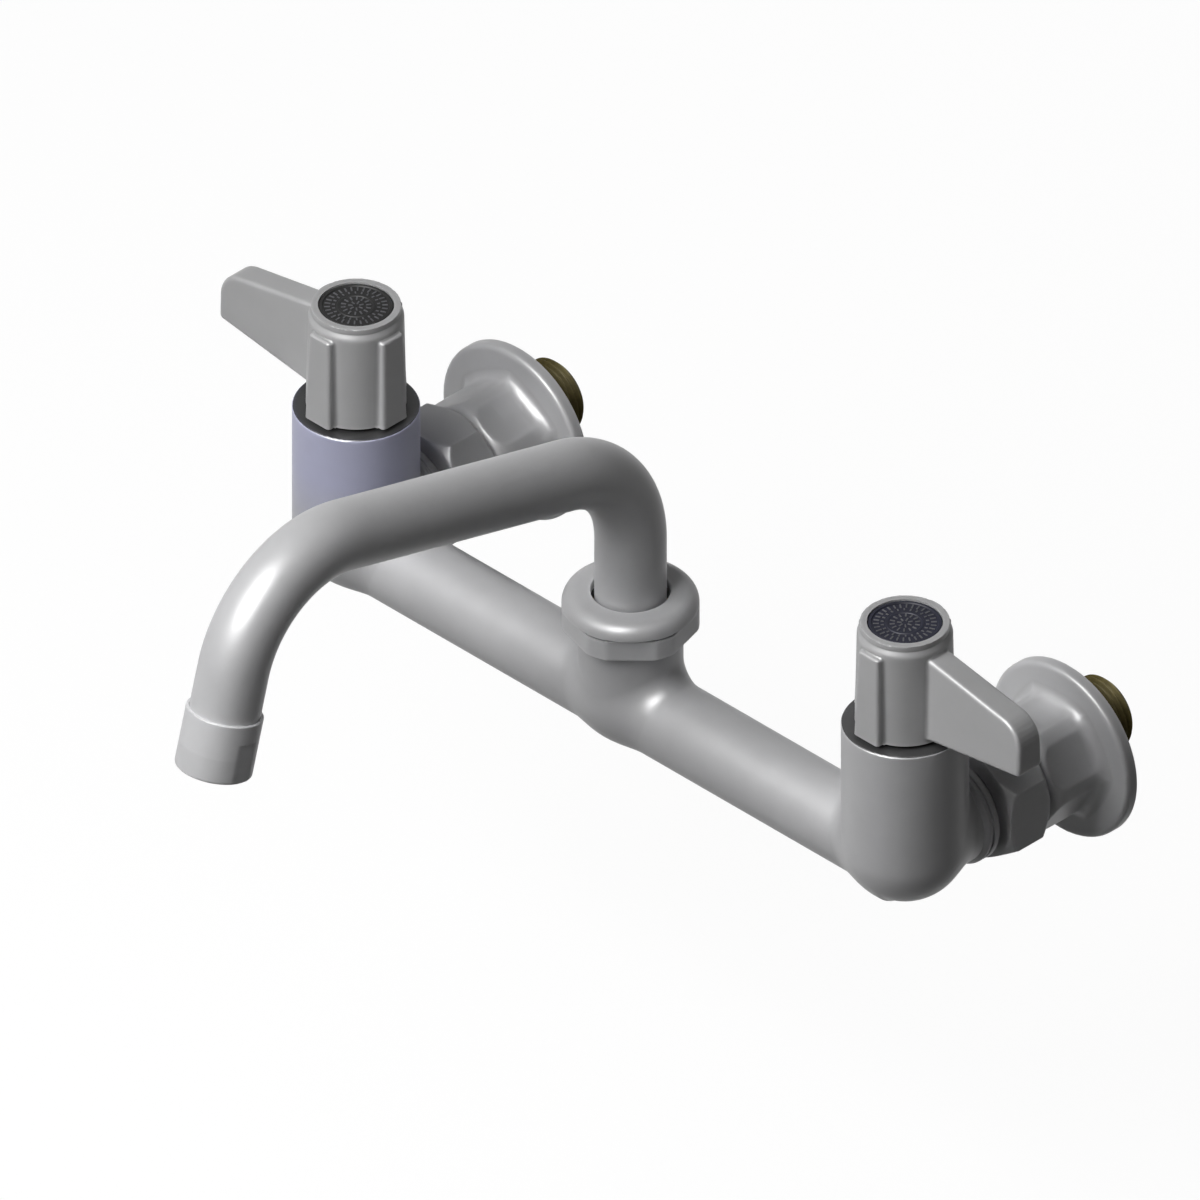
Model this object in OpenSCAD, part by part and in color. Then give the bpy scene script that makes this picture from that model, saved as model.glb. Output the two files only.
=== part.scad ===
// Wall-mounted mixing faucet: two quarter-turn lever valves on one cast bar,
// a bent tube spout that swings on the middle boss, and two eccentric wall inlets.
// +X runs along the bar to the cold side, +Y runs into the wall, +Z is up.
// The origin is on the wall plane, midway between the axes of the two supply nipples.

/* [Layout] */
// Distance between the hot and the cold supply
centres = 203.2; // [180:0.1:230]
// Distance from the valve axes to the wall plane
valve_to_wall = 60.7; // [58:0.1:75]
// Height of the inlet axis above the bar axis
inlet_rise = 5.3; // [3:0.1:7]
// Height of the supply nipple above the inlet axis
eccentric = 4.2; // [2:0.1:4.8]

/* [Bar and middle boss] */
// Outer diameter of the bar
bar_d = 22.4; // [20:0.1:25]
// Water bore of the bar
bar_bore_d = 13; // [9:0.1:14]
// Diameter of the middle boss under the swivel nut
boss_d = 27.8; // [27.2:0.1:30]
// Height of the middle boss shoulder above the bar axis
boss_h = 23.2; // [21:0.1:27]
// Diameter of the spout socket in the middle boss
socket_d = 19.12; // [17.6:0.01:19.4]

/* [Valve towers] */
// Outer diameter of a valve tower
tower_d = 33.6; // [32:0.1:37]
// Height of the tower rim above the bar axis
tower_top = 43.1; // [41:0.1:50]
// Height of the centre of the round tower bottom above the bar axis
tower_round_z = 5.8; // [4:0.1:8]
// Wall of the tower round the cartridge
tower_wall = 4.4; // [3.8:0.1:5]
// Height of the valve seat above the bar axis
seat_z = 15; // [14:0.1:17]
// Bore that brings the supply to the seat
inlet_bore_d = 12; // [9:0.1:13]
// Bore that leads the mixed side down to the bar
port_d = 5.6; // [4:0.1:6]

/* [Cartridge] */
// Diameter of the ceramic discs
disc_d = 14.2; // [12:0.1:15]
// Thickness of one ceramic disc
disc_t = 2.6; // [2:0.1:3.2]
// Thickness of the seat washer
seat_washer_t = 2; // [1.6:0.1:2.4]
// Diameter of the turning stem
stem_d = 9.5; // [9:0.1:10.4]
// Side of the square end of the stem
stem_square = 6.6; // [6:0.1:7]
// Width across the flats of the bonnet nut
bonnet_af = 18.8; // [18.5:0.1:19]
// Height of the bonnet nut above the tower rim
bonnet_h = 5.6; // [4:0.1:6.4]

/* [Handle] */
// Air gap between the tower rim and the handle
handle_gap = 1.1; // [0.6:0.1:2]
// Height of the handle hub
hub_h = 30.9; // [30:0.1:36]
// Diameter of the hub at its lower edge
hub_d = 26.4; // [25.8:0.1:28]
// Reach of the lever from the valve axis
lever_reach = 46.5; // [38:0.1:60]
// Thickness of the lever at its lower edge
lever_t = 9.2; // [7.6:0.1:11]
// Diameter of the index disc on the hub
index_d = 19.6; // [18:0.1:20.4]
// Quarter turn of each valve in degrees, drawn closed
valve_open = 0; // [0:1:90]

/* [Spout] */
// Outer diameter of the spout tube
tube_d = 19.05; // [18.5:0.01:19.3]
// Wall of the spout tube
tube_wall = 1.2; // [0.9:0.1:1.6]
// Distance from the swivel axis to the middle of the outlet
spout_reach = 154.5; // [135:0.1:230]
// Height at which the arm would cross the swivel axis, above the bar axis
arm_height = 76.65; // [74:0.01:90]
// Height of the outlet above the bar axis
outlet_h = 54.4; // [45:0.1:60]
// Rise of the arm in degrees
arm_rise = 15; // [10:1:18]
// Bend radius of the tube at its centre line
bend_r = 33; // [28:0.1:36]
// Swing of the spout in degrees, drawn straight ahead
spout_swing = 0; // [-75:1:75]

/* [Swivel nut] */
// Diameter of the swivel nut
swivel_nut_d = 36.2; // [35:0.1:40]
// Width across the flats of the swivel nut
swivel_nut_af = 33.8; // [32.6:0.1:34.6]
// Height of the swivel nut
swivel_nut_h = 11.1; // [10.9:0.1:14]
// Height of the flats on the swivel nut
swivel_flat_h = 6.6; // [5:0.1:8]

/* [Aerator] */
// Diameter of the aerator housing
aerator_d = 20.8; // [20.4:0.1:24]
// Length of the aerator housing
aerator_h = 17; // [16:0.1:20]
// Width across the two wrench flats of the aerator
aerator_af = 19.9; // [19.6:0.1:20.3]

/* [Inlets] */
// Width across the flats of a coupling nut
coupling_af = 31.75; // [30.5:0.01:34]
// Length of a coupling nut
coupling_h = 14.4; // [13.4:0.1:15]
// Diameter of a wall flange
flange_d = 50.8; // [46:0.1:60]
// Thickness of the rim of a wall flange
flange_t = 3.7; // [3.2:0.1:6]
// Width across the flats of the flange neck
neck_af = 30.7; // [30.2:0.1:32]
// Diameter of the flange neck over its rounded corners
neck_d = 33; // [32:0.1:35]
// Radius of the hollow where the neck meets the rim
neck_fillet_r = 4; // [3:0.1:4.6]
// Thread diameter of a supply nipple, half inch pipe
nipple_d = 21.34; // [20.6:0.01:21.4]
// Bore of a supply nipple
nipple_bore_d = 15.8; // [12:0.1:16]
// Length of a supply nipple past the wall plane
nipple_out = 14.1; // [10:0.1:30]

/* [Hidden] */
$fn = 96;

// Sides of the bar: hot at -X, cold at +X
hot = -1;
cold = 1;

// Fits and overruns
cut = 1;
run_fit = 0.06;
thread_fit = 0.06;
seat_gap = 0.3;
lap_gap = 0.1;
ring_gap = 0.3;

// Height of the bar axis below the supply nipples
bar_z = -eccentric - inlet_rise;

// Valve tower: the chamber, its floor ports and its rim
chamber_d = tower_d - 2 * tower_wall;
rim_chamfer = 0.6;
port_wall = 2.6;
port_offset = tower_d / 2 - port_wall - port_d / 2;
port_top_z = seat_z + disc_t;

// Middle boss: threaded stub above the shoulder, round belly below it
boss_shoulder_w = 0.7;
boss_thread_d = boss_d - 2 * boss_shoulder_w;
boss_thread_h = 4.8;
boss_top_z = boss_h + boss_thread_h;
belly_share = 0.3;
belly_z = belly_share * boss_d / 2;

// Rear boss: root, ring, and the tail that carries the coupling nut
rear_root_d = 27.2;
rear_ring_d = 29.6;
rear_ring_stand = 0.2;
rear_ring_y = tower_d / 2 + rear_ring_stand;
rear_ring_w = 3.4;
rear_groove_w = 0.8;
rear_groove_depth = 0.7;
tail_d = 21.2;
tail_len = 10.6;
tail_y = rear_ring_y + rear_ring_w + tail_len;
snap_groove_w = 1.6;
snap_groove_inset = 3;
snap_groove_y = tail_y - snap_groove_inset;
snap_groove_depth = 0.9;
snap_w = 1.4;
snap_d = 24.2;
snap_opening = 5;

// Coupling nut: lip, thread, and where it starts along the inlet
coupling_clear = 3.1;
coupling_y = rear_ring_y + rear_ring_w + coupling_clear;
coupling_lip = 4;
coupling_chamfer = 2.4;
coupling_thread_d = 26;
coupling_end_y = coupling_y + coupling_h;
hot_nut_turn = 0;
cold_nut_turn = 30;

// Inlet washer and the threaded spigot of the flange
inlet_washer_t = 2.2;
inlet_washer_d = 25.2;
spigot_y = tail_y + inlet_washer_t;
spigot_d = coupling_thread_d - 2 * thread_fit;
neck_y = coupling_end_y + seat_gap;
neck_round_r = 5.2;
flange_y = valve_to_wall - flange_t;
flange_edge_r = 1.3;
flange_bore_d = 15.2;
flange_seat_w = 2.8;
flange_hollow_d = flange_d - 2 * flange_seat_w;
flange_hollow_depth = 1.9;
flange_socket_wall = 2.6;
hot_neck_turn = 30;
cold_neck_turn = 60;

// Supply nipple: the end in the flange is a taper thread
nipple_in = 13.2;
nipple_taper = 1.5;
nipple_start_y = valve_to_wall - nipple_in;
nipple_edge = 1;

// Cartridge stack, from the seat upwards
washer_z = seat_z;
fixed_disc_z = washer_z + seat_washer_t;
turning_disc_z = fixed_disc_z + disc_t + lap_gap;
foot_z = turning_disc_z + disc_t + lap_gap;
foot_t = 2.4;
disc_clear = 0.1;
disc_port_share = 0.42;
barrel_wall = 1.7;
barrel_d = disc_d + 2 * disc_clear + 2 * barrel_wall;
barrel_flange_t = 3;
barrel_flange_depth = 5.2;
barrel_flange_z = tower_top - barrel_flange_depth - barrel_flange_t;
barrel_flange_d = chamber_d - 2 * lap_gap;
barrel_neck_d = 15.4;
bonnet_top_z = tower_top + bonnet_h;
barrel_sink = 0.6;
barrel_top_z = bonnet_top_z - barrel_sink;
window_w = 8;
window_h = disc_t + foot_t;
bonnet_z = barrel_flange_z + barrel_flange_t;
bonnet_bore_d = barrel_neck_d + 2 * lap_gap;
bonnet_thread_d = chamber_d - 2 * thread_fit;
bonnet_thread_h = tower_top - bonnet_z - rim_chamfer;
stem_ring_d = 1.2;
stem_ring_z = barrel_flange_z + barrel_flange_t / 2;
stem_shoulder_h = 0.5;
stem_square_z = barrel_top_z + stem_shoulder_h;

// Handle: hub, crown, hollow, socket and screw, from the handle's lower edge
handle_z = tower_top + handle_gap;
handle_top_z = handle_z + hub_h;
crown_h = 1.7;
crown_d = 23.7;
crown_chamfer_h = 1.4;
hub_taper = 0.55;
hub_top_d = hub_d - 2 * hub_taper;
hub_side_h = hub_h - crown_h - crown_chamfer_h;
index_recess_h = 2;
index_edge = 0.2;
index_clear = 0.2;
index_plug_d = 13;
index_plug_wall = 1.2;
index_plug_h = 1.6;
screw_room_d = index_plug_d + 2 * index_clear;
screw_room_h = 4.4;
screw_d = 4;
screw_fit = 0.05;
screw_clear = 0.3;
screw_hole_d = screw_d + 2 * screw_clear;
screw_head_d = 7.2;
screw_head_h = 2.4;
screw_drive_d = 3.4;
screw_drive_depth = 1.4;
screw_len = 11;
screw_seat_z = handle_top_z - index_recess_h - screw_room_h;
web_t = 2.4;
stem_top_z = screw_seat_z - web_t - seat_gap;
post_d = 13.6;
post_gap = 0.3;
post_z = stem_square_z + post_gap;
hub_wall = 1.8;
hub_wall_top = 2.2;
hollow_d = hub_d - 2 * hub_wall;
hollow_top_z = screw_seat_z - web_t;
hollow_inner_d = hub_top_d - 2 * hub_wall_top;

// Ribs and lever: depths and heights measured on the hub
rib_stand = 1.55;
rib_lean = 0.85;
rib_taper = 0.8;
rib_bury = 1.7;
rib_h = 26.6;
rib_reach = hub_d / 2 + rib_stand;
rib_reach_top = rib_reach - rib_lean;
rib_t_top = lever_t - 2 * rib_taper;
rib_root_x = hub_top_d / 2 - rib_bury;
lever_slope = 10.3;
lever_nose_r = 8;
lever_heel_r = 1.6;
lever_heel_turn = 80;
lever_rise_share = 0.12;
lever_heel_z = handle_z + lever_rise_share * lever_reach;
lever_lift = 0.9;
lever_root_z = handle_z + lever_lift;
lever_steps = 10;

// Spout: swivel joint, from the top of the boss upwards
ferrule_gap = 0.3;
ferrule_flange_z = boss_top_z + ferrule_gap;
ferrule_flange_t = 1.7;
ferrule_flange_d = 24.6;
tube_start_z = ferrule_flange_z + ferrule_flange_t;
ferrule_shank_d = socket_d - 2 * run_fit;
ferrule_clear = 3;
ferrule_wall = 3;
ferrule_shank_z = bar_bore_d / 2 + ferrule_clear;
ferrule_bore_d = ferrule_shank_d - 2 * ferrule_wall;
tube_bore_d = tube_d - 2 * tube_wall;
ferrule_spigot_d = tube_bore_d - 2 * thread_fit;
ferrule_spigot_h = 8;
spout_ring_d = 1.8;
spout_ring_pitch = 6;
spout_ring_inset = 4.5;
spout_ring_low_z = ferrule_shank_z + spout_ring_inset;
spout_ring_high_z = spout_ring_low_z + spout_ring_pitch;
swivel_nut_z = boss_h + seat_gap;
nut_ceiling_t = 2.6;
nut_ceiling_z = swivel_nut_z + swivel_nut_h - nut_ceiling_t;
nut_hole_clear = 0.95;
nut_hole_d = tube_d + 2 * nut_hole_clear;
swivel_nut_turn = -45;
nut_dome_r = 4;
bush_z = tube_start_z + seat_gap;
bush_t = nut_ceiling_z - bush_z;
bush_bore_d = tube_d + 2 * ring_gap;
bush_d = boss_thread_d - 2 * ring_gap;

// Spout: centre line, from where the outlet lies
drop = arm_height - outlet_h;
corner_run = spout_reach * cos(arm_rise) - drop * sin(arm_rise);
outlet_run = spout_reach * sin(arm_rise) + drop * cos(arm_rise);
first_turn = 90 - arm_rise;
second_turn = 90;
bend_step = 0.05;
bend_lap = 0.5;
first_tangent = bend_r * tan(first_turn / 2);
riser_len = arm_height - first_tangent - tube_start_z;
arm_len = corner_run - first_tangent - bend_r;
aerator_thread_h = 9.5;
tube_end_gap = aerator_h - aerator_thread_h;
outlet_len = outlet_run - bend_r - tube_end_gap;

// Aerator, measured up from the outlet face
lip_t = 1.2;
lip_wall = 2.4;
screen_t = 1.3;
insert_t = 3;
aerator_thread_d = tube_d + 2 * thread_fit;
aerator_step = 0.6;
aerator_bore_d = aerator_thread_d - 2 * aerator_step;
aerator_part_d = aerator_bore_d - 2 * lap_gap;
aerator_washer_t = tube_end_gap - lip_t - screen_t - insert_t - 3 * lap_gap;
aerator_washer_bore_d = 13.4;
screen_cell = 2;
screen_rings = 3;
screen_web = 0.35;
insert_slots = 12;
insert_slot_w = 1.1;
insert_hub_d = 5;
insert_rim_w = 1.5;
aerator_flat_h = 11.5;
aerator_edge = 0.7;

// Places a piece that is drawn round the bar axis and the swivel axis
module at_bar() {
    translate([0, -valve_to_wall, bar_z]) children();
}

// Places a piece that is drawn round the upright axis of one valve
module at_valve(side) {
    at_bar() translate([side * centres / 2, 0, 0]) children();
}

// Places a piece that turns with the handle, its lever drawn to the outside
module at_handle(side) {
    lever_out = side == hot ? 180 : 0;
    at_valve(side) rotate([0, 0, lever_out - side * valve_open]) children();
}

// Places a piece that is drawn with its Z axis along the inlet, towards the wall
module at_inlet(side, rise = 0) {
    at_valve(side) translate([0, 0, inlet_rise + rise]) rotate([-90, 0, 0]) children();
}

// Places a piece that swings with the spout, drawn with the arm along +X
module at_spout() {
    at_bar() rotate([0, 0, spout_swing - 90]) children();
}

// Places a piece on the outlet, its Z axis pointing up the tube from the outlet face
module at_outlet() {
    at_spout() translate([spout_reach, 0, outlet_h]) rotate([0, -arm_rise, 0]) children();
}

// Ring with a square section
module ring(outer_d, inner_d, height) {
    difference() {
        cylinder(d = outer_d, h = height);
        translate([0, 0, -cut]) cylinder(d = inner_d, h = height + 2 * cut);
    }
}

// Ring with a round section
module round_ring(outer_d, section_d) {
    rotate_extrude() translate([outer_d / 2 - section_d / 2, 0]) circle(d = section_d, $fn = 32);
}

// Cuts six flats round a piece, over a height that starts at zero
module six_flats(across, over_d, height) {
    for (a = [0:60:300])
        rotate([0, 0, a])
            translate([across / 2, -over_d / 2, -cut])
                cube([over_d, over_d, height + cut]);
}

// Hexagonal prism with both ends chamfered round, standing on zero
module hex_nut_blank(across, height, chamfer) {
    corner_d = across / cos(30);
    intersection() {
        cylinder(d = corner_d, h = height, $fn = 6);
        rotate_extrude() polygon([
            [0, 0],
            [corner_d / 2 - chamfer, 0],
            [corner_d / 2, chamfer],
            [corner_d / 2, height - chamfer],
            [corner_d / 2 - chamfer, height],
            [0, height]
        ]);
    }
}

// Valve tower with a round bottom and a chamfered rim
module tower_shape() {
    translate([0, 0, tower_round_z]) {
        sphere(d = tower_d);
        cylinder(d = tower_d, h = tower_top - rim_chamfer - tower_round_z);
    }
    translate([0, 0, tower_top - rim_chamfer])
        cylinder(d1 = tower_d, d2 = tower_d - 2 * rim_chamfer, h = rim_chamfer);
}

// Rear boss of a tower: flared root, grooved ring, and the tail for the coupling nut
module rear_boss_shape() {
    flare = (rear_ring_d - rear_root_d) / 2;
    cylinder(d = rear_root_d, h = rear_ring_y);
    translate([0, 0, rear_ring_y - flare])
        cylinder(d1 = rear_root_d, d2 = rear_ring_d, h = flare);
    difference() {
        translate([0, 0, rear_ring_y]) cylinder(d = rear_ring_d, h = rear_ring_w);
        translate([0, 0, rear_ring_y + rear_groove_w])
            ring(rear_ring_d + 2 * cut, rear_ring_d - 2 * rear_groove_depth, rear_groove_w);
    }
    difference() {
        translate([0, 0, rear_ring_y]) cylinder(d = tail_d, h = tail_y - rear_ring_y);
        translate([0, 0, snap_groove_y])
            ring(tail_d + 2 * cut, tail_d - 2 * snap_groove_depth, snap_groove_w);
    }
}

// Middle boss: belly that hugs the bar, shoulder, and threaded stub
module middle_boss_shape() {
    translate([0, 0, belly_z]) {
        sphere(d = boss_d);
        cylinder(d = boss_d, h = boss_h - belly_z);
    }
    translate([0, 0, boss_h]) cylinder(d = boss_thread_d, h = boss_thread_h);
}

// Water ways of one valve: supply in from the wall, chamber, and port down to the bar
module valve_ways(side) {
    translate([side * centres / 2, 0, 0]) {
        translate([0, 0, inlet_rise]) rotate([-90, 0, 0]) cylinder(d = inlet_bore_d, h = tail_y + cut);
        translate([0, 0, inlet_rise]) sphere(d = inlet_bore_d);
        translate([0, 0, inlet_rise]) cylinder(d = inlet_bore_d, h = seat_z);
        translate([0, 0, seat_z]) cylinder(d = chamber_d, h = tower_top);
        translate([-side * port_offset, 0, 0]) cylinder(d = port_d, h = port_top_z);
    }
}

module body_casting() {
    color("silver") at_bar() difference() {
        union() {
            rotate([0, 90, 0]) cylinder(d = bar_d, h = centres, center = true);
            middle_boss_shape();
            for (side = [hot, cold])
                translate([side * centres / 2, 0, 0]) {
                    tower_shape();
                    translate([0, 0, inlet_rise]) rotate([-90, 0, 0]) rear_boss_shape();
                }
        }
        rotate([0, 90, 0]) cylinder(d = bar_bore_d, h = centres - 2 * port_offset, center = true);
        cylinder(d = socket_d, h = boss_top_z + cut);
        for (side = [hot, cold]) valve_ways(side);
    }
}

// Swivel nut: round body, domed top, six wrench flats below the dome
module swivel_nut() {
    color("silver") at_bar() translate([0, 0, swivel_nut_z]) rotate([0, 0, swivel_nut_turn]) difference() {
        rotate_extrude() {
            square([swivel_nut_d / 2, swivel_nut_h - nut_dome_r]);
            square([swivel_nut_d / 2 - nut_dome_r, swivel_nut_h]);
            translate([swivel_nut_d / 2 - nut_dome_r, swivel_nut_h - nut_dome_r]) circle(r = nut_dome_r);
        }
        six_flats(swivel_nut_af, swivel_nut_d, swivel_flat_h);
        translate([0, 0, -cut]) cylinder(d = nut_hole_d, h = swivel_nut_h + 2 * cut);
        translate([0, 0, -cut])
            cylinder(d = boss_thread_d + 2 * thread_fit, h = swivel_nut_h - nut_ceiling_t + cut);
    }
}

module swivel_bush() {
    color("white") at_bar() translate([0, 0, bush_z]) ring(bush_d, bush_bore_d, bush_t);
}

// Tube bend that leaves along +Z and turns towards +X, with what follows it on its end.
// Its wall is a little thinner than the straights', so it ends inside their wall.
module tube_bend(turn) {
    translate([bend_r, 0, 0]) {
        rotate([90, 0, 0])
            rotate([0, 0, 180 - turn])
                rotate_extrude(angle = turn)
                    translate([bend_r, 0])
                        difference() {
                            circle(d = tube_d - 2 * bend_step);
                            circle(d = tube_bore_d + 2 * bend_step);
                        }
        rotate([0, turn, 0]) translate([-bend_r, 0, 0]) children();
    }
}

// Straight piece of tube that laps over the bend below it, with what follows it on its end
module tube_straight(length, lap_low = bend_lap, lap_high = bend_lap) {
    translate([0, 0, -lap_low]) ring(tube_d, tube_bore_d, lap_low + length + lap_high);
    translate([0, 0, length]) children();
}

// Spout tube: riser, first bend, rising arm, second bend, outlet
module spout_tube() {
    color("silver") at_spout() translate([0, 0, tube_start_z])
        tube_straight(riser_len, lap_low = 0) tube_bend(first_turn)
            tube_straight(arm_len) tube_bend(second_turn)
                tube_straight(outlet_len, lap_high = 0);
}

// Brazed end of the tube: spigot in the tube, flange under the nut, shank with two grooves
module spout_ferrule() {
    groove_d = ferrule_shank_d - 2 * (spout_ring_d + run_fit);
    groove_h = spout_ring_d + lap_gap;
    color("goldenrod") at_spout() difference() {
        union() {
            translate([0, 0, ferrule_shank_z])
                cylinder(d = ferrule_shank_d, h = ferrule_flange_z - ferrule_shank_z);
            translate([0, 0, ferrule_flange_z]) cylinder(d = ferrule_flange_d, h = ferrule_flange_t);
            translate([0, 0, tube_start_z]) cylinder(d = ferrule_spigot_d, h = ferrule_spigot_h);
        }
        translate([0, 0, ferrule_shank_z - cut])
            cylinder(d = ferrule_bore_d, h = tube_start_z + ferrule_spigot_h - ferrule_shank_z + 2 * cut);
        for (z = [spout_ring_low_z, spout_ring_high_z])
            translate([0, 0, z - groove_h / 2]) ring(ferrule_shank_d + 2 * cut, groove_d, groove_h);
    }
}

module spout_oring(z) {
    color("dimgray") at_spout() translate([0, 0, z]) round_ring(ferrule_shank_d, spout_ring_d);
}

module spout_oring_upper() {
    spout_oring(spout_ring_high_z);
}

module spout_oring_lower() {
    spout_oring(spout_ring_low_z);
}

// Aerator housing: cap that screws over the tube end, with an inner lip and two flats
module aerator_housing() {
    color("silver") at_outlet() difference() {
        union() {
            cylinder(d1 = aerator_d - 2 * aerator_edge, d2 = aerator_d, h = aerator_edge);
            translate([0, 0, aerator_edge]) cylinder(d = aerator_d, h = aerator_h - aerator_edge);
        }
        translate([0, 0, -cut]) cylinder(d = aerator_bore_d - lip_wall, h = aerator_h);
        translate([0, 0, lip_t]) cylinder(d = aerator_bore_d, h = aerator_h);
        translate([0, 0, tube_end_gap - lap_gap]) cylinder(d = aerator_thread_d, h = aerator_h);
        for (side = [hot, cold])
            translate([-aerator_d / 2, side * (aerator_af + aerator_d) / 2 - aerator_d / 2, -cut])
                cube([aerator_d, aerator_d, aerator_flat_h + cut]);
    }
}

module aerator_screen() {
    color("gainsboro") at_outlet() translate([0, 0, lip_t + lap_gap]) difference() {
        cylinder(d = aerator_part_d, h = screen_t);
        for (i = [-screen_rings:screen_rings], j = [-screen_rings:screen_rings])
            if (abs(i + j) <= screen_rings)
                translate([screen_cell * (i + j / 2), screen_cell * j * sin(60), -cut])
                    rotate([0, 0, 30])
                        cylinder(d = (screen_cell - screen_web) / cos(30), h = screen_t + 2 * cut, $fn = 6);
    }
}

module aerator_insert() {
    slot_len = aerator_part_d / 2 - insert_rim_w - insert_hub_d / 2;
    color("white") at_outlet() translate([0, 0, lip_t + screen_t + 2 * lap_gap]) difference() {
        cylinder(d = aerator_part_d, h = insert_t);
        for (a = [0:360 / insert_slots:359])
            rotate([0, 0, a])
                translate([insert_hub_d / 2, -insert_slot_w / 2, -cut])
                    cube([slot_len, insert_slot_w, insert_t + 2 * cut]);
    }
}

module aerator_washer() {
    color("dimgray") at_outlet() translate([0, 0, lip_t + screen_t + insert_t + 3 * lap_gap])
        ring(aerator_part_d, aerator_washer_bore_d, aerator_washer_t);
}

// Points of an arc in a plane, from angle a0 to angle a1
function arc(x, y, r, a0, a1) =
    [for (i = [0:lever_steps]) let (a = a0 + (a1 - a0) * i / lever_steps) [x + r * cos(a), y + r * sin(a)]];

// Side view of the lever, from the hub outwards
module lever_side() {
    nose_x = lever_reach - lever_nose_r;
    top_z = handle_z + rib_h;
    nose_drop = (nose_x - rib_root_x) * tan(lever_slope);
    nose_z = top_z - nose_drop - lever_nose_r / cos(lever_slope);
    polygon(concat(
        [[rib_root_x, lever_root_z], [rib_root_x, top_z]],
        arc(nose_x, nose_z, lever_nose_r, 90 - lever_slope, 0),
        arc(lever_reach - lever_heel_r, lever_heel_z + lever_heel_r, lever_heel_r, 0, -lever_heel_turn)
    ));
}

// Side view of one short rib
module rib_side() {
    polygon([
        [rib_root_x, handle_z],
        [rib_reach, handle_z],
        [rib_reach_top, handle_z + rib_h],
        [rib_root_x, handle_z + rib_h]
    ]);
}

// End view of a rib or of the lever, thinner towards the top
module rib_end() {
    polygon([
        [-lever_t / 2, handle_z],
        [lever_t / 2, handle_z],
        [rib_t_top / 2, handle_z + rib_h],
        [-rib_t_top / 2, handle_z + rib_h]
    ]);
}

// Rib or lever: the side view and the end view cut out of one block
module blade(reach) {
    intersection() {
        translate([0, lever_t, 0]) rotate([90, 0, 0]) linear_extrude(height = 2 * lever_t) children();
        rotate([90, 0, 90]) linear_extrude(height = reach + cut) rib_end();
    }
}

// Handle hub with its ribs, crown and lever, closed below
module handle_shape() {
    translate([0, 0, handle_z]) rotate_extrude() polygon([
        [0, 0],
        [hub_d / 2, 0],
        [hub_top_d / 2, hub_side_h],
        [crown_d / 2, hub_side_h + crown_chamfer_h],
        [crown_d / 2, hub_h],
        [0, hub_h]
    ]);
    for (a = [90, 180, 270]) rotate([0, 0, a]) blade(rib_reach) rib_side();
    blade(lever_reach) lever_side();
}

module handle(side) {
    color("silver") at_handle(side) difference() {
        handle_shape();
        translate([0, 0, handle_z - cut]) difference() {
            cylinder(d1 = hollow_d, d2 = hollow_inner_d, h = hollow_top_z - handle_z + cut);
            translate([0, 0, post_z - handle_z + cut]) cylinder(d = post_d, h = hub_h);
        }
        translate([0, 0, (post_z + stem_top_z + seat_gap) / 2])
            cube([stem_square + 2 * run_fit, stem_square + 2 * run_fit,
                  stem_top_z + seat_gap - post_z + cut], center = true);
        translate([0, 0, screw_seat_z - web_t - cut]) cylinder(d = screw_hole_d, h = web_t + 2 * cut);
        translate([0, 0, screw_seat_z]) cylinder(d = screw_room_d, h = hub_h);
        translate([0, 0, handle_top_z - index_recess_h]) cylinder(d = index_d + 2 * index_clear, h = hub_h);
    }
}

module index_disc(side) {
    disc_h = index_recess_h - index_edge - lap_gap;
    color("midnightblue") at_handle(side) translate([0, 0, handle_top_z - index_recess_h + lap_gap]) {
        cylinder(d = index_d, h = disc_h);
        translate([0, 0, -index_plug_h])
            ring(index_plug_d, index_plug_d - 2 * index_plug_wall, index_plug_h + disc_h / 2);
    }
}

module handle_screw(side) {
    color("gray") at_handle(side) translate([0, 0, screw_seat_z + lap_gap]) difference() {
        union() {
            cylinder(d = screw_head_d, h = screw_head_h);
            translate([0, 0, -screw_len]) cylinder(d = screw_d, h = screw_len);
        }
        translate([0, 0, screw_head_h - screw_drive_depth])
            cylinder(d = screw_drive_d / cos(30), h = screw_head_h, $fn = 6);
    }
}

// Bonnet nut: threaded skirt in the tower, hexagon that the handle hides
module bonnet_nut(side) {
    color("goldenrod") at_valve(side) difference() {
        union() {
            translate([0, 0, bonnet_z]) cylinder(d = bonnet_thread_d, h = bonnet_thread_h);
            translate([0, 0, tower_top - rim_chamfer])
                cylinder(d = bonnet_af / cos(30), h = bonnet_h + rim_chamfer, $fn = 6);
        }
        translate([0, 0, bonnet_z - cut])
            cylinder(d = bonnet_bore_d, h = bonnet_top_z - bonnet_z + 2 * cut);
    }
}

// Cartridge barrel: skirt round the discs, flange under the bonnet nut, neck for the stem
module cartridge_barrel(side) {
    inner_d = disc_d + 2 * disc_clear;
    skirt_z = fixed_disc_z;
    room_top_z = foot_z + foot_t + lap_gap;
    color("burlywood") at_valve(side) difference() {
        union() {
            translate([0, 0, skirt_z]) cylinder(d = barrel_d, h = barrel_flange_z - skirt_z);
            translate([0, 0, barrel_flange_z]) cylinder(d = barrel_flange_d, h = barrel_flange_t);
            translate([0, 0, barrel_flange_z])
                cylinder(d = barrel_neck_d, h = barrel_top_z - barrel_flange_z);
        }
        translate([0, 0, skirt_z - cut]) cylinder(d = inner_d, h = room_top_z - skirt_z + cut);
        translate([0, 0, skirt_z]) cylinder(d = stem_d + 2 * run_fit, h = tower_top);
        translate([-barrel_d, -window_w / 2, turning_disc_z]) cube([2 * barrel_d, window_w, window_h]);
    }
}

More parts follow.
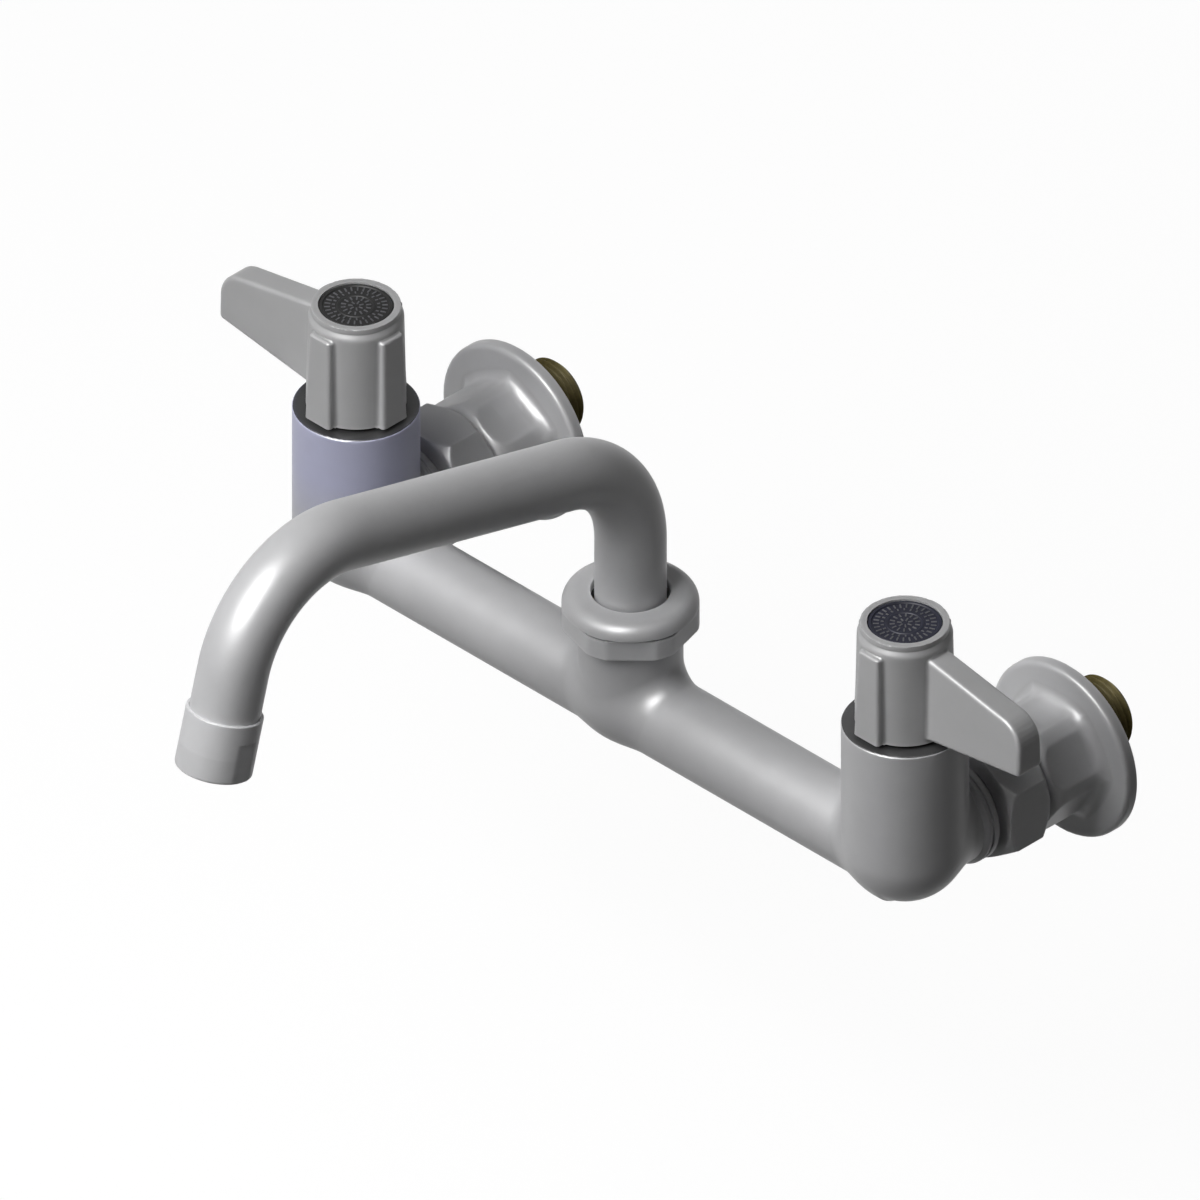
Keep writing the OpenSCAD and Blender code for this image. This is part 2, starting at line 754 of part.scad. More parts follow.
// Stem: foot that drives the turning disc, round shaft, square end with a screw thread
module cartridge_stem(side) {
    groove_h = stem_ring_d + lap_gap;
    color("goldenrod") at_handle(side) difference() {
        union() {
            translate([0, 0, foot_z]) cylinder(d = disc_d, h = foot_t);
            translate([0, 0, foot_z]) cylinder(d = stem_d, h = stem_square_z - foot_z);
            translate([0, 0, (stem_square_z + stem_top_z) / 2])
                cube([stem_square, stem_square, stem_top_z - stem_square_z], center = true);
        }
        translate([0, 0, stem_ring_z - groove_h / 2])
            ring(stem_d + 2 * cut, stem_d - 2 * (stem_ring_d + run_fit), groove_h);
        translate([0, 0, stem_top_z - screw_len]) cylinder(d = screw_d + 2 * screw_fit, h = screw_len + cut);
    }
}

module stem_oring(side) {
    color("dimgray") at_handle(side) translate([0, 0, stem_ring_z]) round_ring(stem_d, stem_ring_d);
}

// Half of a disc as a cutter, for the water window of a ceramic disc
module disc_window() {
    port_d = disc_d * disc_port_share;
    for (a = [0, 180])
        rotate([0, 0, a])
            translate([disc_d / 4, 0, -cut])
                cylinder(d = port_d, h = disc_t + 2 * cut);
}

module disc_turning(side) {
    color("ivory") at_handle(side) translate([0, 0, turning_disc_z]) difference() {
        cylinder(d = disc_d, h = disc_t);
        disc_window();
    }
}

module disc_fixed(side) {
    color("ivory") at_valve(side) translate([0, 0, fixed_disc_z]) rotate([0, 0, 90]) difference() {
        cylinder(d = disc_d, h = disc_t);
        disc_window();
    }
}

module seat_washer(side) {
    color("dimgray") at_valve(side) translate([0, 0, washer_z])
        ring(barrel_d, inlet_bore_d, seat_washer_t);
}

module coupling_nut(side, turn) {
    color("silver") at_inlet(side) translate([0, 0, coupling_y]) rotate([0, 0, turn]) difference() {
        hex_nut_blank(coupling_af, coupling_h, coupling_chamfer);
        translate([0, 0, -cut]) cylinder(d = tail_d + 2 * ring_gap, h = coupling_h);
        translate([0, 0, coupling_lip]) cylinder(d = coupling_thread_d, h = coupling_h);
    }
}

module snap_ring(side) {
    groove_play = (snap_groove_w - snap_w) / 2;
    color("gray") at_inlet(side) translate([0, 0, snap_groove_y + groove_play]) difference() {
        ring(snap_d, tail_d - 2 * snap_groove_depth + 2 * lap_gap, snap_w);
        translate([-snap_opening / 2, 0, -cut]) cube([snap_opening, snap_d, snap_w + 2 * cut]);
    }
}

module inlet_washer(side) {
    color("dimgray") at_inlet(side) translate([0, 0, tail_y])
        ring(inlet_washer_d, inlet_bore_d, inlet_washer_t);
}

// Neck of the flange: six flats on a round body with a rounded front
module flange_neck(turn) {
    neck_h = valve_to_wall - flange_t / 2 - neck_y;
    intersection() {
        rotate([0, 0, turn]) cylinder(d = neck_af / cos(30), h = neck_h, $fn = 6);
        rotate_extrude() {
            square([neck_d / 2 - neck_round_r, neck_h]);
            translate([0, neck_round_r]) square([neck_d / 2, neck_h]);
            translate([neck_d / 2 - neck_round_r, neck_round_r]) circle(r = neck_round_r);
        }
    }
}

// Rim of the flange with a rounded front edge, and the hollow fillet up to the neck
module flange_rim() {
    rotate_extrude() {
        square([flange_d / 2 - flange_edge_r, flange_t]);
        translate([0, flange_edge_r]) square([flange_d / 2, flange_t - flange_edge_r]);
        translate([flange_d / 2 - flange_edge_r, flange_edge_r]) circle(r = flange_edge_r);
        difference() {
            translate([0, -neck_fillet_r])
                square([neck_af / 2 + neck_fillet_r, neck_fillet_r + flange_edge_r]);
            translate([neck_af / 2 + neck_fillet_r, -neck_fillet_r]) circle(r = neck_fillet_r);
        }
    }
}

// Wall flange: threaded spigot, six-sided neck, rim with a hollow back
module wall_flange(side, turn) {
    color("silver") at_inlet(side) difference() {
        union() {
            translate([0, 0, spigot_y]) cylinder(d = spigot_d, h = flange_y - spigot_y);
            translate([0, 0, neck_y]) flange_neck(turn);
            translate([0, 0, flange_y]) flange_rim();
        }
        translate([0, 0, spigot_y - cut])
            cylinder(d = flange_bore_d, h = nipple_start_y - spigot_y + 2 * cut);
        translate([0, -eccentric, nipple_start_y - seat_gap])
            cylinder(d1 = nipple_d - nipple_taper + 2 * thread_fit,
                     d2 = nipple_d + 2 * thread_fit, h = nipple_in + seat_gap);
        translate([0, -eccentric, valve_to_wall - cut / 2]) cylinder(d = nipple_d + 2 * thread_fit, h = cut);
        translate([0, 0, valve_to_wall - flange_hollow_depth]) difference() {
            cylinder(d = flange_hollow_d, h = flange_t);
            translate([0, -eccentric, -cut])
                cylinder(d = nipple_d + 2 * flange_socket_wall, h = flange_t + 2 * cut);
        }
    }
}

// Supply nipple: taper end in the flange, straight threaded end past the wall plane
module supply_nipple(side) {
    color("darkgoldenrod") at_inlet(side, eccentric) difference() {
        union() {
            translate([0, 0, nipple_start_y])
                cylinder(d1 = nipple_d - nipple_taper, d2 = nipple_d, h = nipple_in);
            translate([0, 0, valve_to_wall]) cylinder(d = nipple_d, h = nipple_out - nipple_edge);
            translate([0, 0, valve_to_wall + nipple_out - nipple_edge])
                cylinder(d1 = nipple_d, d2 = nipple_d - 2 * nipple_edge, h = nipple_edge);
        }
        translate([0, 0, nipple_start_y - cut])
            cylinder(d = nipple_bore_d, h = nipple_in + nipple_out + 2 * cut);
    }
}

body_casting();
swivel_nut();
swivel_bush();
spout_tube();
spout_ferrule();
spout_oring_upper();
spout_oring_lower();
aerator_housing();
aerator_washer();
aerator_insert();
aerator_screen();
handle(hot);  // hot_handle
index_disc(hot);  // hot_index_disc
handle_screw(hot);  // hot_handle_screw
bonnet_nut(hot);  // hot_bonnet_nut
cartridge_barrel(hot);  // hot_cartridge_barrel
cartridge_stem(hot);  // hot_cartridge_stem
stem_oring(hot);  // hot_stem_oring
disc_turning(hot);  // hot_disc_turning
disc_fixed(hot);  // hot_disc_fixed
seat_washer(hot);  // hot_seat_washer
coupling_nut(hot, hot_nut_turn);  // hot_coupling_nut
snap_ring(hot);  // hot_snap_ring
inlet_washer(hot);  // hot_inlet_washer
wall_flange(hot, hot_neck_turn);  // hot_wall_flange
supply_nipple(hot);  // hot_supply_nipple
handle(cold);  // cold_handle
index_disc(cold);  // cold_index_disc
handle_screw(cold);  // cold_handle_screw
bonnet_nut(cold);  // cold_bonnet_nut
cartridge_barrel(cold);  // cold_cartridge_barrel
cartridge_stem(cold);  // cold_cartridge_stem
stem_oring(cold);  // cold_stem_oring
disc_turning(cold);  // cold_disc_turning
disc_fixed(cold);  // cold_disc_fixed
seat_washer(cold);  // cold_seat_washer
coupling_nut(cold, cold_nut_turn);  // cold_coupling_nut
snap_ring(cold);  // cold_snap_ring
inlet_washer(cold);  // cold_inlet_washer
wall_flange(cold, cold_neck_turn);  // cold_wall_flange
supply_nipple(cold);  // cold_supply_nipple
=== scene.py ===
import math
import bpy
import numpy as np
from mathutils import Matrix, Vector


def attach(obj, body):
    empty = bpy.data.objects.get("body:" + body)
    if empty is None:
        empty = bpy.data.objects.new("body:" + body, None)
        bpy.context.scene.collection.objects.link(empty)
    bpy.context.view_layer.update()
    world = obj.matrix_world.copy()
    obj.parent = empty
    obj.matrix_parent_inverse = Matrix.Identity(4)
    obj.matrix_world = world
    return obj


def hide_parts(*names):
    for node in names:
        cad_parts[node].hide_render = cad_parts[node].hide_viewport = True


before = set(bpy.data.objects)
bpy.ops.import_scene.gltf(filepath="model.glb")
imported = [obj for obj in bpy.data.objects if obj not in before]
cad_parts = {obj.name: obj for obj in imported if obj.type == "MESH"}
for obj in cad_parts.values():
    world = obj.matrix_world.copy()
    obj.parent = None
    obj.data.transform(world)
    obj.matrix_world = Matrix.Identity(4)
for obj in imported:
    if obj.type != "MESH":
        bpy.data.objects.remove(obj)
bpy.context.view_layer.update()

# Photo studio: a pale floor below the faucet, a wide soft key lamp above and in front,
# a second lamp seen only as shine, a weak lamp behind, and a camera without perspective.
centre = Vector((-0.00565, -0.06635, 0.0216))
picture_width = 0.31414
camera_distance = 1.5
camera_range = 20
towards_camera = Vector((1, -1, 1)).normalized()
camera = bpy.data.objects.new("camera", bpy.data.cameras.new("camera"))
bpy.context.scene.collection.objects.link(camera)
camera.data.type = "ORTHO"
camera.data.ortho_scale = picture_width
camera.data.clip_end = camera_range
camera.location = centre + towards_camera * camera_distance
camera.rotation_euler = towards_camera.to_track_quat("Z", "Y").to_euler()
bpy.context.scene.camera = camera
bpy.context.scene.view_settings.view_transform = "Standard"
lamp_distance = 1.3


def lamp(name, direction, size, watts):
    """A square soft lamp that looks at the faucet from the given direction."""
    data = bpy.data.lights.new(name, "AREA")
    data.size = size
    data.energy = watts
    light = bpy.data.objects.new(name, data)
    aim = Vector(direction).normalized()
    light.location = centre + aim * lamp_distance
    light.rotation_euler = aim.to_track_quat("Z", "Y").to_euler()
    bpy.context.scene.collection.objects.link(light)
    return light


lamp("key_lamp", (-0.13, -0.68, 0.72), size=1.05, watts=17.5)
sheen_lamp = lamp("sheen_lamp", (0.08, -0.66, 0.75), size=0.80, watts=190.0)
sheen_lamp.visible_diffuse = False
back_lamp = lamp("back_lamp", (-0.50, 0.86, 0.03), size=0.28, watts=3.4)
back_lamp.visible_glossy = False


def seen_directly(tree):
    """1 for rays from the camera and through gloss or glass, 0 for soft light."""
    path = tree.nodes.new("ShaderNodeLightPath")
    first = tree.nodes.new("ShaderNodeMath")
    second = tree.nodes.new("ShaderNodeMath")
    for node in (first, second):
        node.operation = "MAXIMUM"
    tree.links.new(path.outputs["Is Camera Ray"], first.inputs[0])
    tree.links.new(path.outputs["Is Glossy Ray"], first.inputs[1])
    tree.links.new(path.outputs["Is Transmission Ray"], second.inputs[0])
    tree.links.new(first.outputs[0], second.inputs[1])
    return second.outputs[0]


white = (1, 1, 1, 1)
room_light = 0.015
backdrop_light = 1.0
studio = bpy.data.worlds.new("studio")
bpy.context.scene.world = studio
studio.use_nodes = True
sky = studio.node_tree
sky.nodes.clear()
room = sky.nodes.new("ShaderNodeBackground")
room.inputs["Color"].default_value = white
room.inputs["Strength"].default_value = room_light
backdrop = sky.nodes.new("ShaderNodeBackground")
backdrop.inputs["Color"].default_value = white
backdrop.inputs["Strength"].default_value = backdrop_light
either_sky = sky.nodes.new("ShaderNodeMixShader")
sky_out = sky.nodes.new("ShaderNodeOutputWorld")
sky.links.new(seen_directly(sky), either_sky.inputs[0])
sky.links.new(room.outputs[0], either_sky.inputs[1])
sky.links.new(backdrop.outputs[0], either_sky.inputs[2])
sky.links.new(either_sky.outputs[0], sky_out.inputs["Surface"])

floor_reach = 6.0
floor_z = -0.13
floor_corners = [(-floor_reach, -floor_reach, floor_z), (floor_reach, -floor_reach, floor_z),
                 (floor_reach, floor_reach, floor_z), (-floor_reach, floor_reach, floor_z)]
floor_mesh = bpy.data.meshes.new("floor")
floor_mesh.from_pydata(floor_corners, [], [(0, 1, 2, 3)])
floor = bpy.data.objects.new("floor", floor_mesh)
bpy.context.scene.collection.objects.link(floor)

floor_bounce = (0.03, 0.03, 0.03, 1)
paper_tone = (0.92, 0.92, 0.92, 1)
floor_glow = 1.04
glow_share = 0.90
floor_finish = bpy.data.materials.new("floor_paper")
floor_finish.use_nodes = True
paper = floor_finish.node_tree
paper.nodes.clear()
soft = paper.nodes.new("ShaderNodeBsdfDiffuse")
soft.inputs["Color"].default_value = floor_bounce
lit = paper.nodes.new("ShaderNodeBsdfDiffuse")
lit.inputs["Color"].default_value = paper_tone
bright = paper.nodes.new("ShaderNodeEmission")
bright.inputs["Strength"].default_value = floor_glow
shown = paper.nodes.new("ShaderNodeMixShader")
shown.inputs[0].default_value = glow_share
either_paper = paper.nodes.new("ShaderNodeMixShader")
paper_out = paper.nodes.new("ShaderNodeOutputMaterial")
paper.links.new(lit.outputs[0], shown.inputs[1])
paper.links.new(bright.outputs[0], shown.inputs[2])
paper.links.new(seen_directly(paper), either_paper.inputs[0])
paper.links.new(soft.outputs[0], either_paper.inputs[1])
paper.links.new(shown.outputs[0], either_paper.inputs[2])
paper.links.new(either_paper.outputs[0], paper_out.inputs["Surface"])
floor_mesh.materials.append(floor_finish)

# Body casting: bar, two valve towers, middle boss and rear bosses, cast in brass,
# fettled, turned at the ends, and satin nickel-chrome plated all over.
metre = 1000  # in millimetres, as all sizes of pieces are
hot, cold = -1, 1
centres = 203.2
wall_y = 60.7
bar_z = -9.5
inlet_rise = 5.3
bar_r = 11.2
tower_r = 16.8
tower_round_z = 5.8
tower_top = 43.1
chamber_r = 12.4
seat_z = 15
boss_r = 13.9
boss_h = 23.2
belly_z = 4.17
boss_thread_r = 13.2
boss_top_z = 28
socket_r = 9.56
inlet_bore_r = 6
rear_root_r = 13.6
rear_root_y = 16.4
bar_fillet, boss_fillet, rear_fillet = 4.0, 5.0, 2.5
tower_rim_round, boss_rim_round = 0.6, 0.5
casting_box = (-119.7, -18.2, -12.6), (119.7, 18.2, 44.8)
casting_step = 0.76


def slopes(field, spots):
    """Unit slope of a distance field at some points."""
    nudge = 2e-3
    steep = [field(*(spots + nudge * e).T) - field(*(spots - nudge * e).T) for e in np.eye(3)]
    steep = np.stack(steep, axis=1)
    return steep / np.maximum(np.linalg.norm(steep, axis=1), 1e-12)[:, None]


def crossings(field, value, low, step, axis):
    """Where grid lines along one axis cross the surface, and the four cells round each line."""
    tries, careful, margin = 5, 3, 0.05
    below, above = [slice(None)] * 3, [slice(None)] * 3
    below[axis], above[axis] = slice(0, -1), slice(1, None)
    near, far = value[tuple(below)], value[tuple(above)]
    where = np.stack(np.nonzero((near < 0) != (far < 0)), axis=1)
    near, far = near[tuple(where.T)], far[tuple(where.T)]
    start = low + where * step
    low_t, low_f = np.zeros(len(near)), near.copy()
    high_t, high_f = np.ones(len(near)), far.copy()
    for turn in range(tries):
        share = np.clip(low_f / (low_f - high_f), margin, 1 - margin) if turn < careful else 0.5
        t = low_t + (high_t - low_t) * share
        spots = start.copy()
        spots[:, axis] += t * step
        f = field(*spots.T)
        same = (f < 0) == (low_f < 0)
        low_t, low_f = np.where(same, t, low_t), np.where(same, f, low_f)
        high_t, high_f = np.where(same, high_t, t), np.where(same, high_f, f)
    spots = start.copy()
    spots[:, axis] += (low_t + (high_t - low_t) * np.clip(low_f / (low_f - high_f), 0, 1)) * step

    u, v = [k for k in range(3) if k != axis]
    strides = np.array([value.shape[1] * value.shape[2], value.shape[2], 1])
    around = []
    for du, dv in ((-1, -1), (0, -1), (0, 0), (-1, 0)):
        cell = where.copy()
        cell[:, u] += du
        cell[:, v] += dv
        around.append(cell @ strides)
    cells = np.stack(around, axis=1)
    flip = (near < 0) == (axis == 1)
    cells[flip] = cells[flip][:, ::-1]
    return spots, cells


def creases(field, spots, quads):
    """Point pairs of the edges where the surface turns sharply within a hair's breadth."""
    hair, least_turn = 0.12, math.radians(15)
    ends = np.sort(np.concatenate([quads[:, [k, (k + 1) % 4]] for k in range(4)]), axis=1)
    face = np.tile(np.arange(len(quads)), 4)
    order = np.lexsort((ends[:, 1], ends[:, 0]))
    ends, face = ends[order], face[order]
    pair = np.nonzero((ends[1:] == ends[:-1]).all(axis=1))[0]
    middle = spots[ends[pair]].mean(axis=1)
    sides = []
    for k in (0, 1):
        off = spots[quads[face[pair + k]]].mean(axis=1) - middle
        sides.append(slopes(field, middle + off * hair / np.linalg.norm(off, axis=1)[:, None]))
    return ends[pair][np.einsum("ij,ij->i", *sides) < math.cos(least_turn)]


def contour(field, box, step):
    """Points and quads on the zero surface of a distance field, with its creases kept.

    Also gives how much each point stands out or lies in, from 1 to -1, and its sharp edges.
    """
    low = np.array(box[0])
    counts = [int(math.ceil((b - a) / step)) + 1 for a, b in zip(*box)]
    ticks = [a + step * np.arange(n) for a, n in zip(low, counts)]
    value = field(ticks[0][:, None, None], ticks[1][None, :, None], ticks[2][None, None, :])
    value = np.broadcast_to(value, counts)
    tiny = 1e-7
    value = np.where(np.abs(value) < tiny, tiny, value)
    found = [crossings(field, value, low, step, axis) for axis in range(3)]
    points = np.concatenate([spots for spots, _ in found])
    cells = np.concatenate([around for _, around in found])
    outward = slopes(field, points)
    ids, quads = np.unique(cells, return_inverse=True)
    quads = quads.reshape(cells.shape)

    # Each cell's point is the one nearest to all the tangent planes found on its sides
    hold, longest, round_enough, nudge_share = 0.03, 0.9, 0.96, 0.3
    owner = quads.ravel()
    spread = np.repeat(np.arange(len(points)), 4)

    def total(weight):
        return np.bincount(owner, weights=weight[spread], minlength=len(ids))

    count = total(np.ones(len(points)))
    mean = np.stack([total(points[:, k]) for k in range(3)], axis=1) / count[:, None]
    normal = np.stack([total(outward[:, k]) for k in range(3)], axis=1) / count[:, None]
    along = np.einsum("ij,ij->i", outward, points)
    pull = np.stack([total(outward[:, k] * along) for k in range(3)], axis=1)
    grip = np.zeros((len(ids), 3, 3))
    for r in range(3):
        for c in range(r, 3):
            grip[:, r, c] = grip[:, c, r] = total(outward[:, r] * outward[:, c])
    pull -= np.einsum("nij,nj->ni", grip, mean)
    grip += hold * count[:, None, None] * np.eye(3)
    move = np.linalg.solve(grip, pull[:, :, None])[:, :, 0]
    size = np.linalg.norm(move, axis=1)
    spots = mean + move * np.minimum(1, longest * step / np.maximum(size, 1e-9))[:, None]
    smooth = np.linalg.norm(normal, axis=1) > round_enough
    for _ in range(2):
        short = np.clip(field(*spots.T), -nudge_share * step, nudge_share * step)
        spots = spots - np.where(smooth, short, 0)[:, None] * slopes(field, spots)

    reach, gain = 0.8, 4.5
    around = sum(field(*(spots + reach * e).T) + field(*(spots - reach * e).T) for e in np.eye(3)) / 6
    stand = np.clip((around - field(*spots.T)) * gain / reach, -1, 1)
    return spots, quads, stand, creases(field, spots, quads)


def meet(a, b, r):
    """Both shapes at once, with the crease rounded to radius r."""
    return np.minimum(-r, np.maximum(a, b)) + np.hypot(np.maximum(a + r, 0), np.maximum(b + r, 0))


def weld(a, b, r):
    """Either shape, with the inner corner filled to radius r."""
    return np.maximum(r, np.minimum(a, b)) - np.hypot(np.maximum(r - a, 0), np.maximum(r - b, 0))


def faced(name, spots, quads, stand=None, sharp=None, crease=48):
    """A smooth-shaded mesh from points in millimetres and four-sided faces."""
    mesh = bpy.data.meshes.new(name)
    mesh.vertices.add(len(spots))
    mesh.vertices.foreach_set("co", (spots / metre).astype(np.float32).ravel())
    mesh.loops.add(quads.size)
    mesh.loops.foreach_set("vertex_index", quads.astype(np.int32).ravel())
    mesh.polygons.add(len(quads))
    mesh.polygons.foreach_set("loop_start", np.arange(0, quads.size, 4, dtype=np.int32))
    mesh.update(calc_edges=True)
    mesh.validate()
    mesh.shade_smooth()
    mesh.set_sharp_from_angle(angle=math.radians(crease))
    if sharp is not None:
        marks = np.zeros(len(mesh.edges), dtype=bool)
        ends = np.zeros(2 * len(mesh.edges), dtype=np.int32)
        mesh.edges.foreach_get("use_edge_sharp", marks)
        mesh.edges.foreach_get("vertices", ends)
        ends = np.sort(ends.reshape(-1, 2).astype(np.int64), axis=1) @ (len(spots), 1)
        mesh.edges.foreach_set("use_edge_sharp", marks | np.isin(ends, sharp @ (len(spots), 1)))
    if stand is not None:
        edge = mesh.attributes.new("edge", "FLOAT", "POINT")
        edge.data.foreach_set("value", stand.astype(np.float32))
    return mesh


def turned(outline, steps):
    """Points and faces of a closed outline of (radius, height) turned round the Z axis."""
    angles = np.arange(steps) * 2 * math.pi / steps
    ring = np.stack([np.cos(angles), np.sin(angles)], axis=1)
    spots = np.concatenate([np.column_stack([ring * r, np.full(steps, h)]) for r, h in outline])
    i, j = np.meshgrid(np.arange(len(outline)), np.arange(steps), indexing="ij")
    k, l = (i + 1) % len(outline), (j + 1) % steps
    quads = np.stack([i * steps + j, i * steps + l, k * steps + l, k * steps + j], axis=-1)
    return spots, quads.reshape(-1, 4)


def together(*parts):
    """Several (points, faces) as one."""
    spots, quads, base = [], [], 0
    for part_spots, part_quads in parts:
        spots.append(part_spots)
        quads.append(part_quads + base)
        base += len(part_spots)
    return np.concatenate(spots), np.concatenate(quads)


def softened(corners, r, steps=3):
    """A closed outline with each corner rounded to radius r, or less where a side is short."""
    done = []
    for k, corner in enumerate(corners):
        corner = np.array(corner, dtype=float)
        before = np.array(corners[k - 1], dtype=float) - corner
        after = np.array(corners[(k + 1) % len(corners)], dtype=float) - corner
        cut = min(r, 0.45 * np.linalg.norm(before), 0.45 * np.linalg.norm(after))
        start = corner + before / np.linalg.norm(before) * cut
        end = corner + after / np.linalg.norm(after) * cut
        for t in np.linspace(0, 1, steps + 1):
            done.append((1 - t) ** 2 * start + 2 * t * (1 - t) * corner + t * t * end)
    return done


def at_valve(side, rise=0):
    """Where a piece drawn round one valve's axis stands, in millimetres."""
    return np.array((side * centres / 2, -wall_y, bar_z + rise))


def placed(name, mesh, material, body, slot, *nodes):
    """Puts a finished mesh in the scene as the visible form of its nodes."""
    piece = bpy.data.objects.new(name, mesh)
    mesh.materials.append(material)
    bpy.context.scene.collection.objects.link(piece)
    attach(piece, body)
    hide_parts(*nodes)


def casting(x, y, z):
    side = np.abs(x) - centres / 2
    bar = np.maximum(np.hypot(y, z) - bar_r, np.abs(x) - centres / 2)
    tower = np.hypot(np.hypot(side, y), np.minimum(z - tower_round_z, 0)) - tower_r
    boss = np.hypot(np.hypot(x, y), np.minimum(z - belly_z, 0)) - boss_r
    boss = meet(boss, z - boss_h, boss_rim_round)
    stub = np.maximum(np.maximum(np.hypot(x, y) - boss_thread_r, z - boss_top_z), -z)
    root = np.hypot(side, z - inlet_rise) - rear_root_r
    root = np.maximum(np.maximum(root, -y), y - rear_root_y)
    solid = weld(bar, tower, bar_fillet)
    solid = weld(solid, boss, boss_fillet)
    solid = weld(solid, root, rear_fillet)
    solid = meet(solid, z - tower_top, tower_rim_round)
    solid = np.minimum(solid, stub)
    chamber = np.maximum(np.hypot(side, y) - chamber_r, seat_z - z)
    socket = np.maximum(np.hypot(x, y) - socket_r, -z)
    inlet = np.hypot(np.hypot(side, z - inlet_rise), np.minimum(y, 0)) - inlet_bore_r
    return np.maximum(np.maximum(solid, -chamber), np.maximum(-socket, -inlet))


# Tail behind each tower, as radius and distance from the tower's axis: ring, then snap groove
ring_r, ring_start, ring_end = 14.8, 17.0, 20.4
groove_r, groove_start, groove_end = 14.1, 17.8, 18.6
ring_flare_r, ring_flare_start = 13.6, 15.8
tail_r, tail_end = 10.6, 31.0
snap_r, snap_start, snap_end = 9.7, 28.0, 29.6
tail_round, tail_steps = 0.25, 112
tail_outline = softened([
    (inlet_bore_r, ring_flare_start), (ring_flare_r, ring_flare_start), (ring_r, ring_start),
    (ring_r, groove_start), (groove_r, groove_start), (groove_r, groove_end),
    (ring_r, groove_end), (ring_r, ring_end), (tail_r, ring_end), (tail_r, snap_start),
    (snap_r, snap_start), (snap_r, snap_end), (tail_r, snap_end),
    (tail_r, tail_end), (inlet_bore_r, tail_end)], tail_round)
tail_spots, tail_quads = turned(tail_outline, tail_steps)
tail_spots = tail_spots[:, [0, 2, 1]] * (1, 1, -1)
cast_spots, cast_quads, stand, sharp = contour(casting, casting_box, casting_step)
tails = [(tail_spots + (side * centres / 2, 0, inlet_rise), tail_quads) for side in (hot, cold)]
spots, quads = together((cast_spots, cast_quads), *tails)
stand = np.concatenate([stand, np.zeros(len(spots) - len(stand))])
body_mesh = faced("body_casting_form", spots + (0, -wall_y, bar_z), quads, stand, sharp)

# The hot tower's wall takes a cooler plate, which fades in above its round bottom
cool_fade_h, cool_inside, cool_outside = 22, 0.8, 0.5
cool_blur_in, cool_blur_out = 0.5, 0.4
from_axis = np.hypot(spots[:, 0] + centres / 2, spots[:, 1])
cool = np.clip((from_axis - tower_r + cool_inside) / cool_blur_in, 0, 1)
cool *= np.clip((spots[:, 2] - tower_round_z) / cool_fade_h, 0, 1)
cool *= np.clip((tower_r + cool_outside - from_axis) / cool_blur_out, 0, 1)
cool_mask = body_mesh.attributes.new("cool", "FLOAT", "POINT")
cool_mask.data.foreach_set("value", cool.astype(np.float32))


def effect(name, *inputs):
    """An empty shader group that puts out colour, roughness and height from named inputs."""
    group = bpy.data.node_groups.new(name, "ShaderNodeTree")
    for label in ("Color", "Roughness", "Height"):
        kind = "NodeSocketColor" if label == "Color" else "NodeSocketFloat"
        group.interface.new_socket(label, in_out="OUTPUT", socket_type=kind)
    for label, value in inputs:
        kind = "NodeSocketColor" if isinstance(value, tuple) else "NodeSocketFloat"
        group.interface.new_socket(label, in_out="INPUT", socket_type=kind).default_value = value
    return group, group.nodes.new("NodeGroupInput").outputs, group.nodes.new("NodeGroupOutput").inputs


def feed(tree, value, socket):
    """Links a socket, or writes a plain number."""
    if hasattr(value, "default_value"):
        tree.links.new(value, socket)
    else:
        socket.default_value = value


def noise(tree, vector, scale, detail, rough=0.55):
    node = tree.nodes.new("ShaderNodeTexNoise")
    feed(tree, scale, node.inputs["Scale"])
    node.inputs["Detail"].default_value = detail
    node.inputs["Roughness"].default_value = rough
    tree.links.new(vector, node.inputs["Vector"])
    return node.outputs["Fac"]


def swing(tree, value):
    """A noise stretched from its middle range to the range from -1 to 1."""
    node = tree.nodes.new("ShaderNodeMapRange")
    for label, number in (("From Min", 0.3), ("From Max", 0.7), ("To Min", -1.0), ("To Max", 1.0)):
        node.inputs[label].default_value = number
    tree.links.new(value, node.inputs["Value"])
    return node.outputs["Result"]


def sums(tree, operation, *values):
    node = tree.nodes.new("ShaderNodeMath")
    node.operation = operation
    for value, socket in zip(values, node.inputs):
        feed(tree, value, socket)
    return node.outputs[0]


def vectors(tree, operation, *values):
    node = tree.nodes.new("ShaderNodeVectorMath")
    node.operation = operation
    for value, socket in zip(values, node.inputs):
        feed(tree, value, socket)
    return node.outputs["Vector"]


def scaled(tree, vector, level):
    node = tree.nodes.new("ShaderNodeVectorMath")
    node.operation = "SCALE"
    tree.links.new(vector, node.inputs[0])
    tree.links.new(level, node.inputs["Scale"])
    return node.outputs["Vector"]


def mask(tree, name, output="Fac"):
    """A value that the mesh carries at its points."""
    node = tree.nodes.new("ShaderNodeAttribute")
    node.attribute_name = name
    return node.outputs[output]


